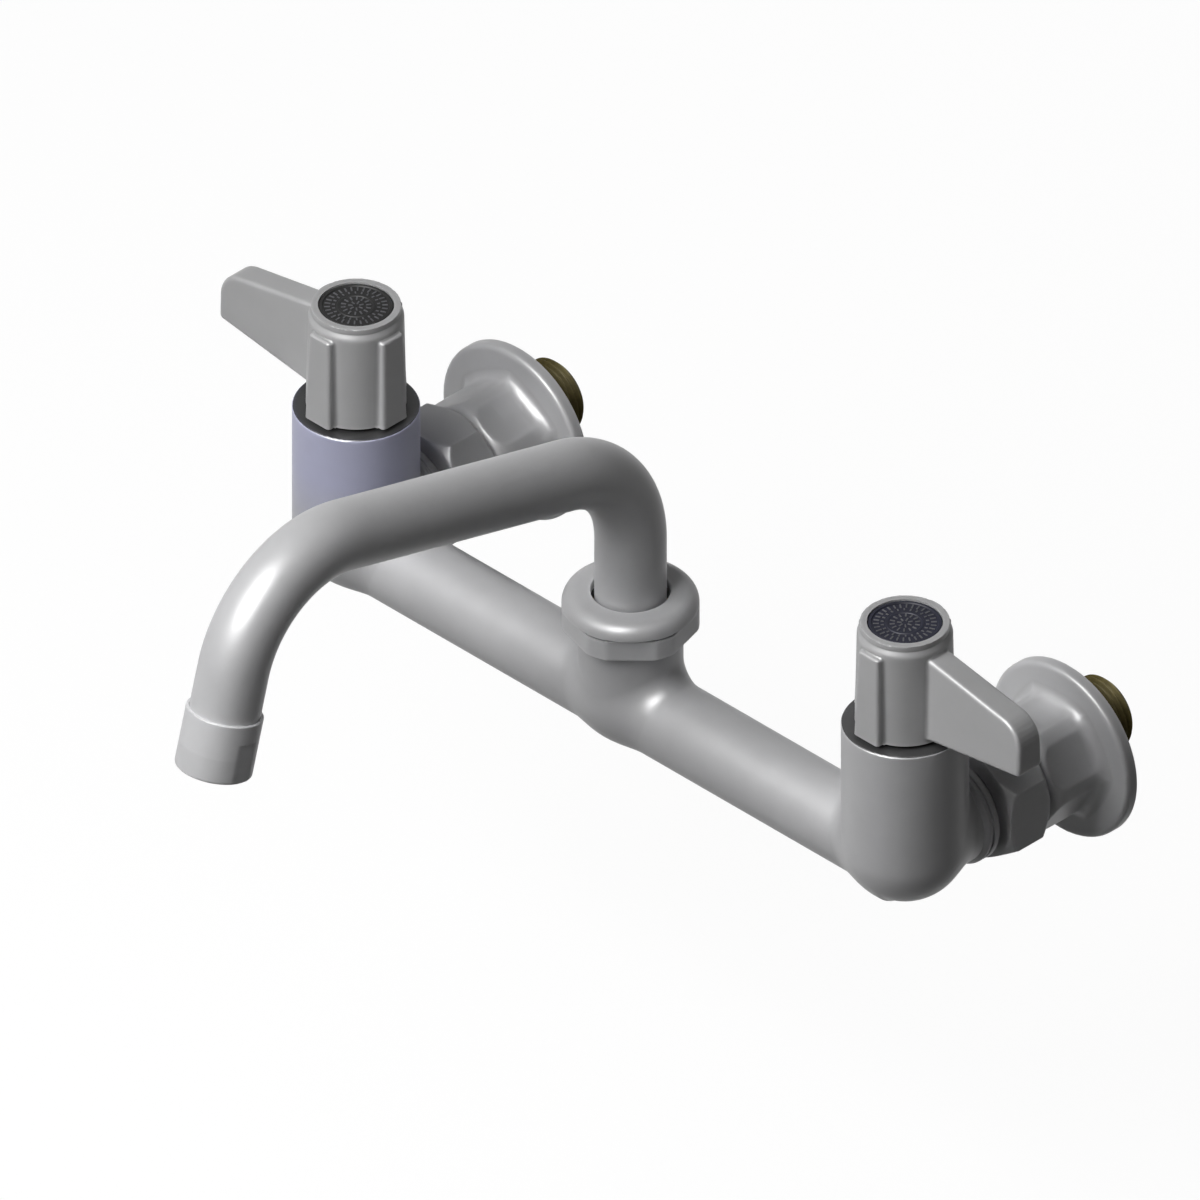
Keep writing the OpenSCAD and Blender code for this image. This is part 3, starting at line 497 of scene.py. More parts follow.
# Satin plate, shared by all plated pieces: slow drift of tone from the polishing wheel,
# water haze, fine wheel marks, bright edges, painted shade in inner corners, and painted shade over all
# above a height.
satin, given, made = effect(
    "satin_plate", ("Tone", (0.5, 0.5, 0.5, 1)), ("Drift", 0.05), ("Gloss", 0.36), ("Haze", 0.06),
    ("Grain", 900.0), ("Bare Above", 9.0))
# Of these numbers, the second darkens inner corners and the last darkens all above a height: both are
# painted shade.
edge_bright, painted_corner_shade, haze_tone, grain_gloss, painted_ring_shade = 0.12, 0.55, 0.018, 0.025, -0.93
cool_tint = (0.0, 0.02, 0.32)
haze_relief, grain_relief = 0.6, 0.4
coords = satin.nodes.new("ShaderNodeTexCoord").outputs["Object"]
cloud = noise(satin, coords, scale=34.0, detail=3.0)
haze = noise(satin, coords, scale=140.0, detail=5.0, rough=0.6)
grain = noise(satin, coords, scale=given["Grain"], detail=2.0)
edge = mask(satin, "edge")
level = sums(satin, "MULTIPLY", swing(satin, cloud), given["Drift"])
level = sums(satin, "MULTIPLY_ADD", sums(satin, "MAXIMUM", edge, 0.0), edge_bright, level)
# Painted shade: inner corners and creases are darkened where shade would fall.
level = sums(satin, "MULTIPLY_ADD", sums(satin, "MINIMUM", edge, 0.0), painted_corner_shade, level)
level = sums(satin, "MULTIPLY_ADD", swing(satin, haze), haze_tone, level)
level = sums(satin, "ADD", level, 1.0)
place = satin.nodes.new("ShaderNodeSeparateXYZ")
satin.links.new(coords, place.inputs[0])
# Painted shade: all above the given height is darkened to near black.
ring_shaded = sums(satin, "GREATER_THAN", place.outputs["Z"], given["Bare Above"])
level = sums(satin, "MULTIPLY", level, sums(satin, "MULTIPLY_ADD", ring_shaded, painted_ring_shade, 1.0))
cooler = vectors(satin, "MULTIPLY_ADD", mask(satin, "cool", "Vector"), cool_tint, (1.0, 1.0, 1.0))
satin.links.new(vectors(satin, "MULTIPLY", scaled(satin, given["Tone"], level), cooler), made["Color"])
dull = sums(satin, "MULTIPLY_ADD", swing(satin, haze), given["Haze"], given["Gloss"])
satin.links.new(sums(satin, "MULTIPLY_ADD", swing(satin, grain), grain_gloss, dull), made["Roughness"])
grain_height = sums(satin, "MULTIPLY", grain, grain_relief)
satin.links.new(sums(satin, "MULTIPLY_ADD", haze, haze_relief, grain_height), made["Height"])


def finish(name, group, metallic=0.0, specular=0.5, relief=0.004, **values):
    """A material whose colour, roughness and relief come from one of the shared effects."""
    material = bpy.data.materials.new(name)
    material.use_nodes = True
    tree = material.node_tree
    shader = tree.nodes["Principled BSDF"]
    shader.inputs["Metallic"].default_value = metallic
    shader.inputs["Specular IOR Level"].default_value = specular
    work = tree.nodes.new("ShaderNodeGroup")
    work.node_tree = group
    for label, value in values.items():
        work.inputs[label.replace("_", " ")].default_value = value
    bump = tree.nodes.new("ShaderNodeBump")
    bump.inputs["Distance"].default_value = relief / metre
    bump.inputs["Strength"].default_value = 1.0
    tree.links.new(work.outputs["Color"], shader.inputs["Base Color"])
    tree.links.new(work.outputs["Roughness"], shader.inputs["Roughness"])
    tree.links.new(work.outputs["Height"], bump.inputs["Height"])
    tree.links.new(bump.outputs["Normal"], shader.inputs["Normal"])
    return material


plate_shine = 0.25
shade_ring_height = 33.4
# The height is the top face of the towers, which is painted near black as the shade in the gap under each
# handle.
cast_plate = finish("cast_satin_plate", satin, specular=plate_shine, relief=0.006,
                    Tone=(0.50, 0.50, 0.51, 1), Drift=0.04, Gloss=0.42, Haze=0.04,
                    Bare_Above=shade_ring_height / metre)
placed("body_casting_form", body_mesh, cast_plate, "faucet_body", "plated_body", "body_casting")

# Valve cartridges, bonnet nuts, seals and ceramic discs: they fill the towers and are
# hidden by the handles. Brass is machined, rubber moulded, the discs are lapped ceramic.
plain, given, made = effect(
    "moulded_or_machined", ("Tone", (0.5, 0.5, 0.5, 1)), ("Drift", 0.1), ("Gloss", 0.5), ("Grain", 500.0))
speck_gloss = 0.06
coords = plain.nodes.new("ShaderNodeTexCoord").outputs["Object"]
speck = noise(plain, coords, scale=given["Grain"], detail=4.0)
patch = noise(plain, coords, scale=60.0, detail=3.0)
level = sums(plain, "MULTIPLY", swing(plain, patch), given["Drift"])
speck_tone = sums(plain, "MULTIPLY", given["Drift"], 0.5)
level = sums(plain, "MULTIPLY_ADD", swing(plain, speck), speck_tone, level)
level = sums(plain, "ADD", level, 1.0)
plain.links.new(scaled(plain, given["Tone"], level), made["Color"])
dull = sums(plain, "MULTIPLY_ADD", swing(plain, speck), speck_gloss, given["Gloss"])
plain.links.new(dull, made["Roughness"])
plain.links.new(speck, made["Height"])

machined_brass = finish("machined_brass", plain, metallic=0.9, relief=0.01,
                        Tone=(0.66, 0.47, 0.22, 1), Gloss=0.32)
blackened_brass = finish("blackened_brass", plain, specular=0.15, relief=0.01,
                         Tone=(0.035, 0.033, 0.03, 1), Gloss=0.6)
moulded_rubber = finish("moulded_rubber", plain, relief=0.02,
                        Tone=(0.03, 0.03, 0.03, 1), Gloss=0.75, Grain=1500.0)
lapped_ceramic = finish("lapped_ceramic", plain, relief=0.002,
                        Tone=(0.82, 0.80, 0.75, 1), Drift=0.03, Gloss=0.25)
plain_steel = finish("plain_steel", plain, metallic=0.85, relief=0.006,
                     Tone=(0.45, 0.45, 0.46, 1), Gloss=0.35, Grain=900.0)
valve_finishes = {
    "bonnet_nut": blackened_brass, "cartridge_barrel": machined_brass, "cartridge_stem": machined_brass,
    "stem_oring": moulded_rubber, "seat_washer": moulded_rubber, "inlet_washer": moulded_rubber,
    "disc_turning": lapped_ceramic, "disc_fixed": lapped_ceramic,
    "handle_screw": plain_steel, "snap_ring": plain_steel}


def dress(node, material):
    """Gives a solid that is shown as it is its finish."""
    shown_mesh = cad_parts[node].data
    shown_mesh.materials.clear()
    shown_mesh.materials.append(material)


for valve in ("hot", "cold"):
    for part, material in valve_finishes.items():
        dress(valve + "_" + part, material)

# Swivel joint: the ferrule brazed to the spout turns in the middle boss on two O-rings,
# held down by a slip ring and by a round nut with six wrench flats under a domed top.
nut_r = 18.1
nut_low_z = 23.5
nut_high_z = 34.6
nut_dome_r = 4.0
nut_ceiling_z = 32
nut_hole_r = 10.475
nut_thread_r = 13.26
nut_flat_r = 16.9
nut_flat_z = 30.1
nut_flat_turn = -45
nut_line_depth = 0.5
nut_line_half = 0.35
nut_low_round, nut_flat_round, nut_hole_round = 0.4, 0.3, 0.5
nut_box = (-18.9, -18.9, 22.8), (18.9, 18.9, 35.4)
nut_step = 0.35


def hexagon(a, b, half, turn):
    """Distance to a hexagon of the given half width across its flats."""
    angles = [math.radians(turn + 60 * k) for k in range(6)]
    return np.maximum.reduce([a * math.cos(t) + b * math.sin(t) for t in angles]) - half


def swivel_nut(x, y, z):
    out = np.hypot(x, y)
    shape = meet(out - nut_r, z - nut_high_z, nut_dome_r)
    shape = meet(shape, nut_low_z - z, nut_low_round)
    flats = np.minimum(hexagon(x, y, nut_flat_r, nut_flat_turn), nut_flat_z - z)
    shape = meet(shape, flats, nut_flat_round)
    core = hexagon(x, y, nut_flat_r - nut_line_depth, nut_flat_turn)
    core = np.maximum(out - nut_r + nut_line_depth, core)
    shape = np.maximum(shape, np.minimum(core, nut_line_half - np.abs(z - nut_flat_z + nut_line_half)))
    thread = np.maximum(out - nut_thread_r, z - nut_ceiling_z)
    return np.maximum(meet(shape, nut_hole_r - out, nut_hole_round), -thread)


spots, quads, stand, sharp = contour(swivel_nut, nut_box, nut_step)
nut_mesh = faced("swivel_nut_form", spots + (0, -wall_y, bar_z), quads, stand, sharp)
turned_plate = finish("turned_satin_plate", satin, specular=plate_shine, relief=0.004,
                      Tone=(0.58, 0.58, 0.59, 1), Drift=0.03, Gloss=0.40, Haze=0.03)
placed("swivel_nut_form", nut_mesh, turned_plate, "faucet_body", "plated_body", "swivel_nut")
# The bush is black partly as its own colour and partly as painted shade, so that the gap between nut and
# boss reads dark.
acetal_black_as_shade = finish("acetal_black_as_shade", plain, specular=0.3, relief=0.006,
                      Tone=(0.03, 0.03, 0.03, 1), Gloss=0.5)
dress("swivel_bush", acetal_black_as_shade)
dress("spout_ferrule", machined_brass)
dress("spout_oring_upper", moulded_rubber)
dress("spout_oring_lower", moulded_rubber)

# Spout: one length of 3/4 in brass tube, drawn, bent twice on a mandrel and plated.
# A straight hollow tube is drawn first, and a node tree lays it along the bent path.
tube_r = 9.525
tube_bore_r = 8.325
tube_edge = 0.25
tube_steps = 96
tube_ring_pitch = 1.5
bend_r = 33.0
arm_rise = math.radians(15)
tube_start_z = 30.0
arm_height = 76.65
spout_reach = 154.5
outlet_h = 54.4
tube_end_gap = 7.5
first_steps, second_steps = 49, 57
along = np.array([math.cos(arm_rise), math.sin(arm_rise)])
down = np.array([math.sin(arm_rise), -math.cos(arm_rise)])
first_turn = math.pi / 2 - arm_rise
second_turn = math.pi / 2
first_tangent = bend_r * math.tan(first_turn / 2)
drop = arm_height - outlet_h
corner_run = spout_reach * math.cos(arm_rise) - drop * math.sin(arm_rise)
outlet_run = spout_reach * math.sin(arm_rise) + drop * math.cos(arm_rise)
corner = np.array([0, arm_height]) + along * corner_run
path = [np.array([0.0, tube_start_z])]
hub = np.array([bend_r, arm_height - first_tangent])
for t in np.linspace(0, first_turn, first_steps):
    path.append(hub + bend_r * np.array([-math.cos(t), math.sin(t)]))
hub = corner - along * bend_r + down * bend_r
for t in np.linspace(0, second_turn, second_steps):
    path.append(hub + bend_r * (-down * math.cos(t) + along * math.sin(t)))
path.append(corner + down * (outlet_run - tube_end_gap))
path = np.array(path)
run = np.concatenate([[0], np.cumsum(np.linalg.norm(np.diff(path, axis=0), axis=1))])

line = bpy.data.curves.new("spout_path", "CURVE")
line.dimensions = "3D"
spline = line.splines.new("POLY")
spline.points.add(len(path) - 1)
for point, (r, h) in zip(spline.points, path):
    point.co = (0, (-r - wall_y) / metre, (h + bar_z) / metre, 1)
guide = bpy.data.objects.new("spout_path", line)
bpy.context.scene.collection.objects.link(guide)

stations = []
for a, b in zip(run[:-1], run[1:]):
    stations += list(np.linspace(a, b, max(2, int((b - a) / tube_ring_pitch) + 1))[:-1])
stations.append(run[-1])
wall_outside = [(tube_r - tube_edge, stations[0]), (tube_r, stations[0] + tube_edge)]
wall_outside += [(tube_r, h) for h in stations[1:-1]]
wall_outside += [(tube_r, stations[-1] - tube_edge), (tube_r - tube_edge, stations[-1])]
wall_inside = [(tube_bore_r, h) for h in stations[::-1][::2]]
spots, quads = turned(wall_outside + wall_inside, tube_steps)
tube = bpy.data.objects.new("spout_tube_form", faced("spout_tube_form", spots, quads))
bpy.context.scene.collection.objects.link(tube)
drawn_plate = finish("drawn_tube_plate", satin, specular=plate_shine, relief=0.003,
                     Tone=(0.555, 0.555, 0.565, 1), Drift=0.03, Gloss=0.40, Haze=0.03, Grain=1400.0)


def new_inputs(tree, **defaults):
    """Names the inputs of a geometry tree and gives their identifiers by name."""
    kinds = {int: "NodeSocketInt", float: "NodeSocketFloat"}
    found = {}
    tree.interface.new_socket("Geometry", in_out="OUTPUT", socket_type="NodeSocketGeometry")
    tree.interface.new_socket("Geometry", in_out="INPUT", socket_type="NodeSocketGeometry")
    for label, value in defaults.items():
        kind = kinds.get(type(value), value)
        socket = tree.interface.new_socket(label, in_out="INPUT", socket_type=kind)
        if kind != value:
            socket.default_value = value
        found[label] = socket.identifier
    return found


def grown(holder, tree, names, **values):
    """Runs a geometry tree on an object and gives what it makes as a plain mesh."""
    maker = holder.modifiers.new(tree.name, "NODES")
    maker.node_group = tree
    for label, value in values.items():
        maker[names[label]] = value
    bpy.context.view_layer.update()
    mesh = bpy.data.meshes.new_from_object(holder.evaluated_get(bpy.context.evaluated_depsgraph_get()))
    holder.modifiers.clear()
    return mesh


lay = bpy.data.node_groups.new("lay_along_path", "GeometryNodeTree")
lay_names = new_inputs(lay, Path="NodeSocketObject", Girth=1.0, Finish="NodeSocketMaterial")
given, result = lay.nodes.new("NodeGroupInput"), lay.nodes.new("NodeGroupOutput")
info = lay.nodes.new("GeometryNodeObjectInfo")
sample = lay.nodes.new("GeometryNodeSampleCurve")
place = lay.nodes.new("GeometryNodeInputPosition")
split = lay.nodes.new("ShaderNodeSeparateXYZ")
shape = lay.nodes.new("GeometryNodeSetPosition")
realize = lay.nodes.new("GeometryNodeRealizeInstances")
paint = lay.nodes.new("GeometryNodeSetMaterial")
info.transform_space = "ORIGINAL"
sample.mode = "LENGTH"
sample.use_all_curves = True
join = lay.links.new
join(given.outputs["Path"], info.inputs["Object"])
join(info.outputs["Geometry"], sample.inputs["Curves"])
join(place.outputs[0], split.inputs[0])
join(split.outputs["Z"], sample.inputs["Length"])
across = vectors(lay, "CROSS_PRODUCT", sample.outputs["Tangent"], sample.outputs["Normal"])
out_x = sums(lay, "MULTIPLY", split.outputs["X"], given.outputs["Girth"])
out_y = sums(lay, "MULTIPLY", split.outputs["Y"], given.outputs["Girth"])
wide = scaled(lay, sample.outputs["Normal"], out_x)
high = scaled(lay, across, out_y)
offset = vectors(lay, "ADD", wide, high)
join(given.outputs["Geometry"], shape.inputs["Geometry"])
join(vectors(lay, "ADD", offset, sample.outputs["Position"]), shape.inputs["Position"])
join(shape.outputs[0], realize.inputs[0])
join(realize.outputs[0], paint.inputs["Geometry"])
join(given.outputs["Finish"], paint.inputs["Material"])
join(paint.outputs[0], result.inputs["Geometry"])
bent = grown(tube, lay, lay_names, Path=guide, Girth=1.0, Finish=drawn_plate)
tube.data = bent
bent.name = "spout_tube_bent"
bpy.data.objects.remove(guide)
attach(tube, "spout")
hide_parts("spout_tube")

# Aerator: a turned cap that screws over the tube end, with two wrench flats and a rolled
# lip. It holds a moulded flow insert and a honeycomb screen against a rubber washer.
cap_r = 10.4
cap_h = 17.0
cap_flat_r = 9.95
cap_flat_h = 11.5
cap_bore_r = 8.985
cap_lip = 1.2
cap_mouth_r = cap_bore_r - cap_lip
cap_thread_r = 9.585
cap_thread_z = 7.4
cap_low_round, cap_high_round = 0.8, 0.35
cap_flat_round, cap_mouth_round = 0.2, 0.3
cap_box = (-11.0, -11.0, -0.5), (11.0, 11.0, 17.6)
cap_step = 0.3


def aerator(x, y, z):
    out = np.hypot(x, y)
    cap = meet(meet(out - cap_r, -z, cap_low_round), z - cap_h, cap_high_round)
    cap = meet(cap, np.minimum(np.abs(y) - cap_flat_r, cap_flat_h - z), cap_flat_round)
    seat = np.maximum(out - cap_bore_r, cap_lip - z)
    thread = np.maximum(out - cap_thread_r, cap_thread_z - z)
    return np.maximum(np.maximum(meet(cap, cap_mouth_r - out, cap_mouth_round), -seat), -thread)


spots, quads, stand, sharp = contour(aerator, cap_box, cap_step)
forward = spots[:, 0] * math.cos(arm_rise) - spots[:, 2] * math.sin(arm_rise) + spout_reach
upward = spots[:, 0] * math.sin(arm_rise) + spots[:, 2] * math.cos(arm_rise) + outlet_h
spots = np.stack([spots[:, 1], -forward - wall_y, upward + bar_z], axis=1)
cap_mesh = faced("aerator_form", spots, quads, stand, sharp)
placed("aerator_form", cap_mesh, turned_plate, "spout", "plated_tube", "aerator_housing")
white_acetal = finish("white_acetal", plain, relief=0.006,
                      Tone=(0.80, 0.80, 0.77, 1), Drift=0.03, Gloss=0.45)
dress("aerator_washer", moulded_rubber)
dress("aerator_insert", white_acetal)
dress("aerator_screen", plain_steel)

# Handles: cast hub with three short ribs and one rib drawn out into the lever, plated,
# pressed on the square of the cartridge stem and held by a screw under the index disc.
hub_low_z = 44.2
hub_side_h = 27.8
shoulder_z = 73.4
hub_high_z = 75.1
hub_low_r, hub_taper = 13.2, 0.55
crown_r, crown_low_z = 11.85, 60
bevel_run, bevel_rise = 1.4, 0.8
shoulder_round, crown_round = 0.25, 0.35
rib_h = 26.6
rib_top_z = 70.8
rib_half, rib_taper = 4.6, 0.8
rib_reach, rib_lean = 14.75, 0.85
rib_round, rib_top_round, rib_fillet = 1.1, 0.7, 0.7
hollow_low_r, hollow_taper, hollow_h, hollow_top_z = 11.4, 0.95, 22.1, 66.3
post_r, post_low_z = 6.8, 49.5
square_r = 4.8
screw_way_r, screw_way_top_z = 2.3, 70
screw_room_r, screw_room_z = 6.7, 68.7
disc_seat_r, disc_seat_z = 10.0, 73.1
lever_root_x = 10.95
lever_reach = 46.5
lever_lift = 0.9
lever_slope = math.radians(10.3)
lever_rise_share = 0.12
nose_r = 8.0
heel_r, heel_turn = 1.6, math.radians(80)
nose_points, heel_points = 9, 6
lever_box = (-15.6, -15.6, 43.6), (47.4, 15.6, 75.9)
lever_step = 0.45
nose_x = lever_reach - nose_r
nose_z = rib_top_z - (nose_x - lever_root_x) * math.tan(lever_slope) - nose_r / math.cos(lever_slope)
heel_x = lever_reach - heel_r
heel_z = hub_low_z + lever_rise_share * lever_reach + heel_r
side_view = [(lever_root_x, hub_low_z + lever_lift), (lever_root_x, rib_top_z)]
for t in np.linspace(math.pi / 2 - lever_slope, 0, nose_points):
    side_view.append((nose_x + nose_r * math.cos(t), nose_z + nose_r * math.sin(t)))
for t in np.linspace(0, -heel_turn, heel_points):
    side_view.append((heel_x + heel_r * math.cos(t), heel_z + heel_r * math.sin(t)))


def flat_shape(corners, u, v):
    """Distance to a closed shape in a plane, negative inside."""
    far = 1e9
    size = np.broadcast(u, v).shape
    best, inside = np.full(size, far), np.zeros(size, dtype=bool)
    for k, (ax, ay) in enumerate(corners):
        bx, by = corners[k - 1]
        ex, ey = bx - ax, by - ay
        t = np.clip(((u - ax) * ex + (v - ay) * ey) / (ex * ex + ey * ey), 0, 1)
        best = np.minimum(best, np.hypot(u - ax - t * ex, v - ay - t * ey))
        spans = (ay > v) != (by > v)
        if by != ay:
            inside ^= spans & (u < (bx - ax) * (v - ay) / (by - ay) + ax)
    return np.where(inside, -best, best)


def lever(x, y, z):
    out = np.hypot(x, y)
    up = z - hub_low_z
    lean = up / rib_h
    cone = out - (hub_low_r - hub_taper * up / hub_side_h)
    bevel = (out - crown_r) * bevel_run + (z - shoulder_z) * bevel_rise
    bevel = bevel / math.hypot(bevel_run, bevel_rise)
    hub = np.maximum(np.maximum(meet(cone, bevel, shoulder_round), z - shoulder_z), hub_low_z - z)
    crown = np.maximum(meet(out - crown_r, z - hub_high_z, crown_round), crown_low_z - z)
    half = rib_half - rib_taper * lean
    blade = meet(flat_shape(side_view, x, z), np.abs(y) - half, rib_round)
    shape = weld(hub, blade, rib_fillet)
    for u, v in ((y, x), (-x, y), (-y, x)):
        rib = meet(u - (rib_reach - rib_lean * lean), np.abs(v) - half, rib_round)
        rib = meet(rib, z - rib_top_z, rib_top_round)
        shape = weld(shape, np.maximum(np.maximum(rib, hub_low_z - z), -u), rib_fillet)
    shape = np.minimum(shape, crown)
    hollow = out - (hollow_low_r - hollow_taper * up / hollow_h)
    hollow = np.maximum(hollow, z - hollow_top_z)
    post = np.maximum(out - post_r, post_low_z - z)
    hollow = np.maximum(hollow, -post)
    square = np.maximum(out - square_r, z - hollow_top_z)
    screw_way = np.maximum(out - screw_way_r, z - screw_way_top_z)
    room = np.maximum(out - screw_room_r, screw_room_z - z)
    seat = np.maximum(out - disc_seat_r, disc_seat_z - z)
    holes = np.minimum(np.minimum(hollow, square), np.minimum(screw_way, room))
    return np.maximum(np.maximum(shape, -holes), -seat)


spots, quads, stand, sharp = contour(lever, lever_box, lever_step)
lever_plate = finish("lever_satin_plate", satin, specular=plate_shine, relief=0.006,
                     Tone=(0.43, 0.43, 0.435, 1), Drift=0.03, Gloss=0.42, Haze=0.04)
for valve, side in (("hot", hot), ("cold", cold)):
    lever_out = spots * (side, side, 1) + at_valve(side)
    handle_mesh = faced(valve + "_handle_form", lever_out, quads, stand, sharp)
    placed(valve + "_handle_form", handle_mesh, lever_plate,
           valve + "_lever", "plated_body", valve + "_handle")

# Index discs: pressed into the crowns, moulded in near-black plastic with a raised rim
# and rings of fine ticks, laid round by a node tree. They carry no letter or mark.
disc_r = 9.8
disc_low_z = 73.3
disc_high_z = 74.9
disc_edge = 0.25
disc_rim_w, disc_rim_foot_w = 0.9, 1.1
disc_dip = 0.35
ring_out, ring_in, ring_dip, ring_foot_w = 5.0, 4.5, 0.2, 0.2
disc_steps = 96
tick_t = 0.3
tick_dip = 0.33
tick_rings = [
    {"Count": 30, "Radius": 7.6, "Length": 1.5, "Width": 0.42, "Turn": 0.0},
    {"Count": 22, "Radius": 6.0, "Length": 0.8, "Width": 0.4, "Turn": 0.1},
    {"Count": 14, "Radius": 3.4, "Length": 1.3, "Width": 0.42, "Turn": 0.05},
    {"Count": 7, "Radius": 1.5, "Length": 1.2, "Width": 0.4, "Turn": 0.2}]
disc_outline = [
    (0.0, disc_low_z), (disc_r, disc_low_z),
    (disc_r, disc_high_z - disc_edge), (disc_r - disc_edge, disc_high_z),
    (disc_r - disc_rim_w, disc_high_z), (disc_r - disc_rim_foot_w, disc_high_z - disc_dip),
    (ring_out + ring_foot_w, disc_high_z - disc_dip), (ring_out, disc_high_z - ring_dip),
    (ring_in, disc_high_z - ring_dip), (ring_in - ring_foot_w, disc_high_z - disc_dip),
    (0.0, disc_high_z - disc_dip)]
disc_spots, disc_quads = turned(disc_outline, disc_steps)
disc_quads = disc_quads[:-disc_steps]

ticks = bpy.data.node_groups.new("rings_of_ticks", "GeometryNodeTree")
tick_names = new_inputs(ticks, Count=24, Radius=0.007, Length=0.002, Width=0.0005, Thickness=0.0003,
                        Turn=0.0, Finish="NodeSocketMaterial")
given, result = ticks.nodes.new("NodeGroupInput"), ticks.nodes.new("NodeGroupOutput")
circle = ticks.nodes.new("GeometryNodeMeshCircle")
tick = ticks.nodes.new("GeometryNodeMeshCube")
lay_out = ticks.nodes.new("GeometryNodeInstanceOnPoints")
size = ticks.nodes.new("ShaderNodeCombineXYZ")
place = ticks.nodes.new("GeometryNodeInputPosition")
aim = ticks.nodes.new("FunctionNodeAlignRotationToVector")
spin = ticks.nodes.new("ShaderNodeCombineXYZ")
turn_round = ticks.nodes.new("GeometryNodeTransform")
realize = ticks.nodes.new("GeometryNodeRealizeInstances")
paint = ticks.nodes.new("GeometryNodeSetMaterial")
aim.axis = "X"
join = ticks.links.new
join(given.outputs["Count"], circle.inputs["Vertices"])
join(given.outputs["Radius"], circle.inputs["Radius"])
join(given.outputs["Length"], size.inputs["X"])
join(given.outputs["Width"], size.inputs["Y"])
join(given.outputs["Thickness"], size.inputs["Z"])
join(size.outputs[0], tick.inputs["Size"])
join(place.outputs[0], aim.inputs["Vector"])
join(circle.outputs["Mesh"], lay_out.inputs["Points"])
join(tick.outputs["Mesh"], lay_out.inputs["Instance"])
join(aim.outputs["Rotation"], lay_out.inputs["Rotation"])
join(given.outputs["Turn"], spin.inputs["Z"])
join(lay_out.outputs[0], turn_round.inputs["Geometry"])
join(spin.outputs[0], turn_round.inputs["Rotation"])
join(turn_round.outputs[0], realize.inputs[0])
join(realize.outputs[0], paint.inputs["Geometry"])
join(given.outputs["Finish"], paint.inputs["Material"])
join(paint.outputs[0], result.inputs["Geometry"])

tick_finish = finish("worn_tick_grey", plain, specular=0.1,
                     Tone=(0.125, 0.125, 0.135, 1), Gloss=0.6, Grain=1200.0)
hot_index = finish("index_near_black", plain, specular=0.1, relief=0.01,
                   Tone=(0.016, 0.016, 0.016, 1), Drift=0.25, Gloss=0.55, Grain=1600.0)
cold_index = finish("index_navy_black", plain, specular=0.1, relief=0.01,
                    Tone=(0.012, 0.013, 0.026, 1), Drift=0.25, Gloss=0.55, Grain=1600.0)
for valve, side, disc_finish, slot in (("hot", hot, hot_index, "dark_index"),
                                       ("cold", cold, cold_index, "navy_index")):
    disc_mesh = faced(valve + "_index_form", disc_spots + at_valve(side), disc_quads, crease=30)
    disc_mesh.materials.append(disc_finish)
    disc = bpy.data.objects.new(valve + "_index_form", disc_mesh)
    pieces = [disc]
    for row in tick_rings:
        values = {label: row[label] / metre for label in ("Radius", "Length", "Width")}
        holder = bpy.data.objects.new("ticks", bpy.data.meshes.new("ticks"))
        bpy.context.scene.collection.objects.link(holder)
        ring_mesh = grown(holder, ticks, tick_names, Count=row["Count"], Turn=row["Turn"],
                          Thickness=tick_t / metre, Finish=tick_finish, **values)
        bpy.data.objects.remove(holder)
        lift = (0, 0, disc_high_z - tick_dip)
        for vertex in ring_mesh.vertices:
            vertex.co = vertex.co + Vector((at_valve(side) + lift) / metre)
        pieces.append(bpy.data.objects.new("ring", ring_mesh))
    bpy.ops.object.select_all(action="DESELECT")
    for piece in pieces:
        bpy.context.scene.collection.objects.link(piece)
        piece.select_set(True)
    bpy.context.view_layer.objects.active = disc
    bpy.ops.object.join()
    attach(disc, valve + "_lever")
    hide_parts(valve + "_index_disc")

# Coupling nuts: six-sided brass nuts, chamfered at both ends and plated, that draw each
# body tail against a washer in the wall flange.
hex_start, hex_end = 23.5, 37.9
hex_half = 15.875
hex_corner_r = hex_half / math.cos(math.radians(30))
hex_chamfer, chamfer_share = 2.4, 0.7071
hex_chamfer_round, hex_edge_round = 0.35, 0.3
hex_lip = 4
hex_hole_r = 10.9
hex_thread_r = 13.0
hex_box = (-19.1, 22.9, -19.1), (19.1, 38.5, 19.1)
hex_step = 0.5
for valve, side, turn in (("hot", hot, 30), ("cold", cold, 0)):

    def coupling(x, y, z):
        out = np.hypot(x, z)
        past = out - hex_corner_r + hex_chamfer
        ends = np.maximum(past - (y - hex_start), past - (hex_end - y)) * chamfer_share
        shape = meet(hexagon(x, z, hex_half, turn), ends, hex_chamfer_round)
        shape = meet(meet(shape, hex_start - y, hex_edge_round), y - hex_end, hex_edge_round)
        thread = np.maximum(out - hex_thread_r, hex_start + hex_lip - y)
        return np.maximum(meet(shape, hex_hole_r - out, hex_edge_round), -thread)

    spots, quads, stand, sharp = contour(coupling, hex_box, hex_step)
    nut = faced(valve + "_coupling_form", spots + at_valve(side, inlet_rise), quads, stand, sharp)
    placed(valve + "_coupling_form", nut, turned_plate,
           "faucet_body", "plated_body", valve + "_coupling_nut")

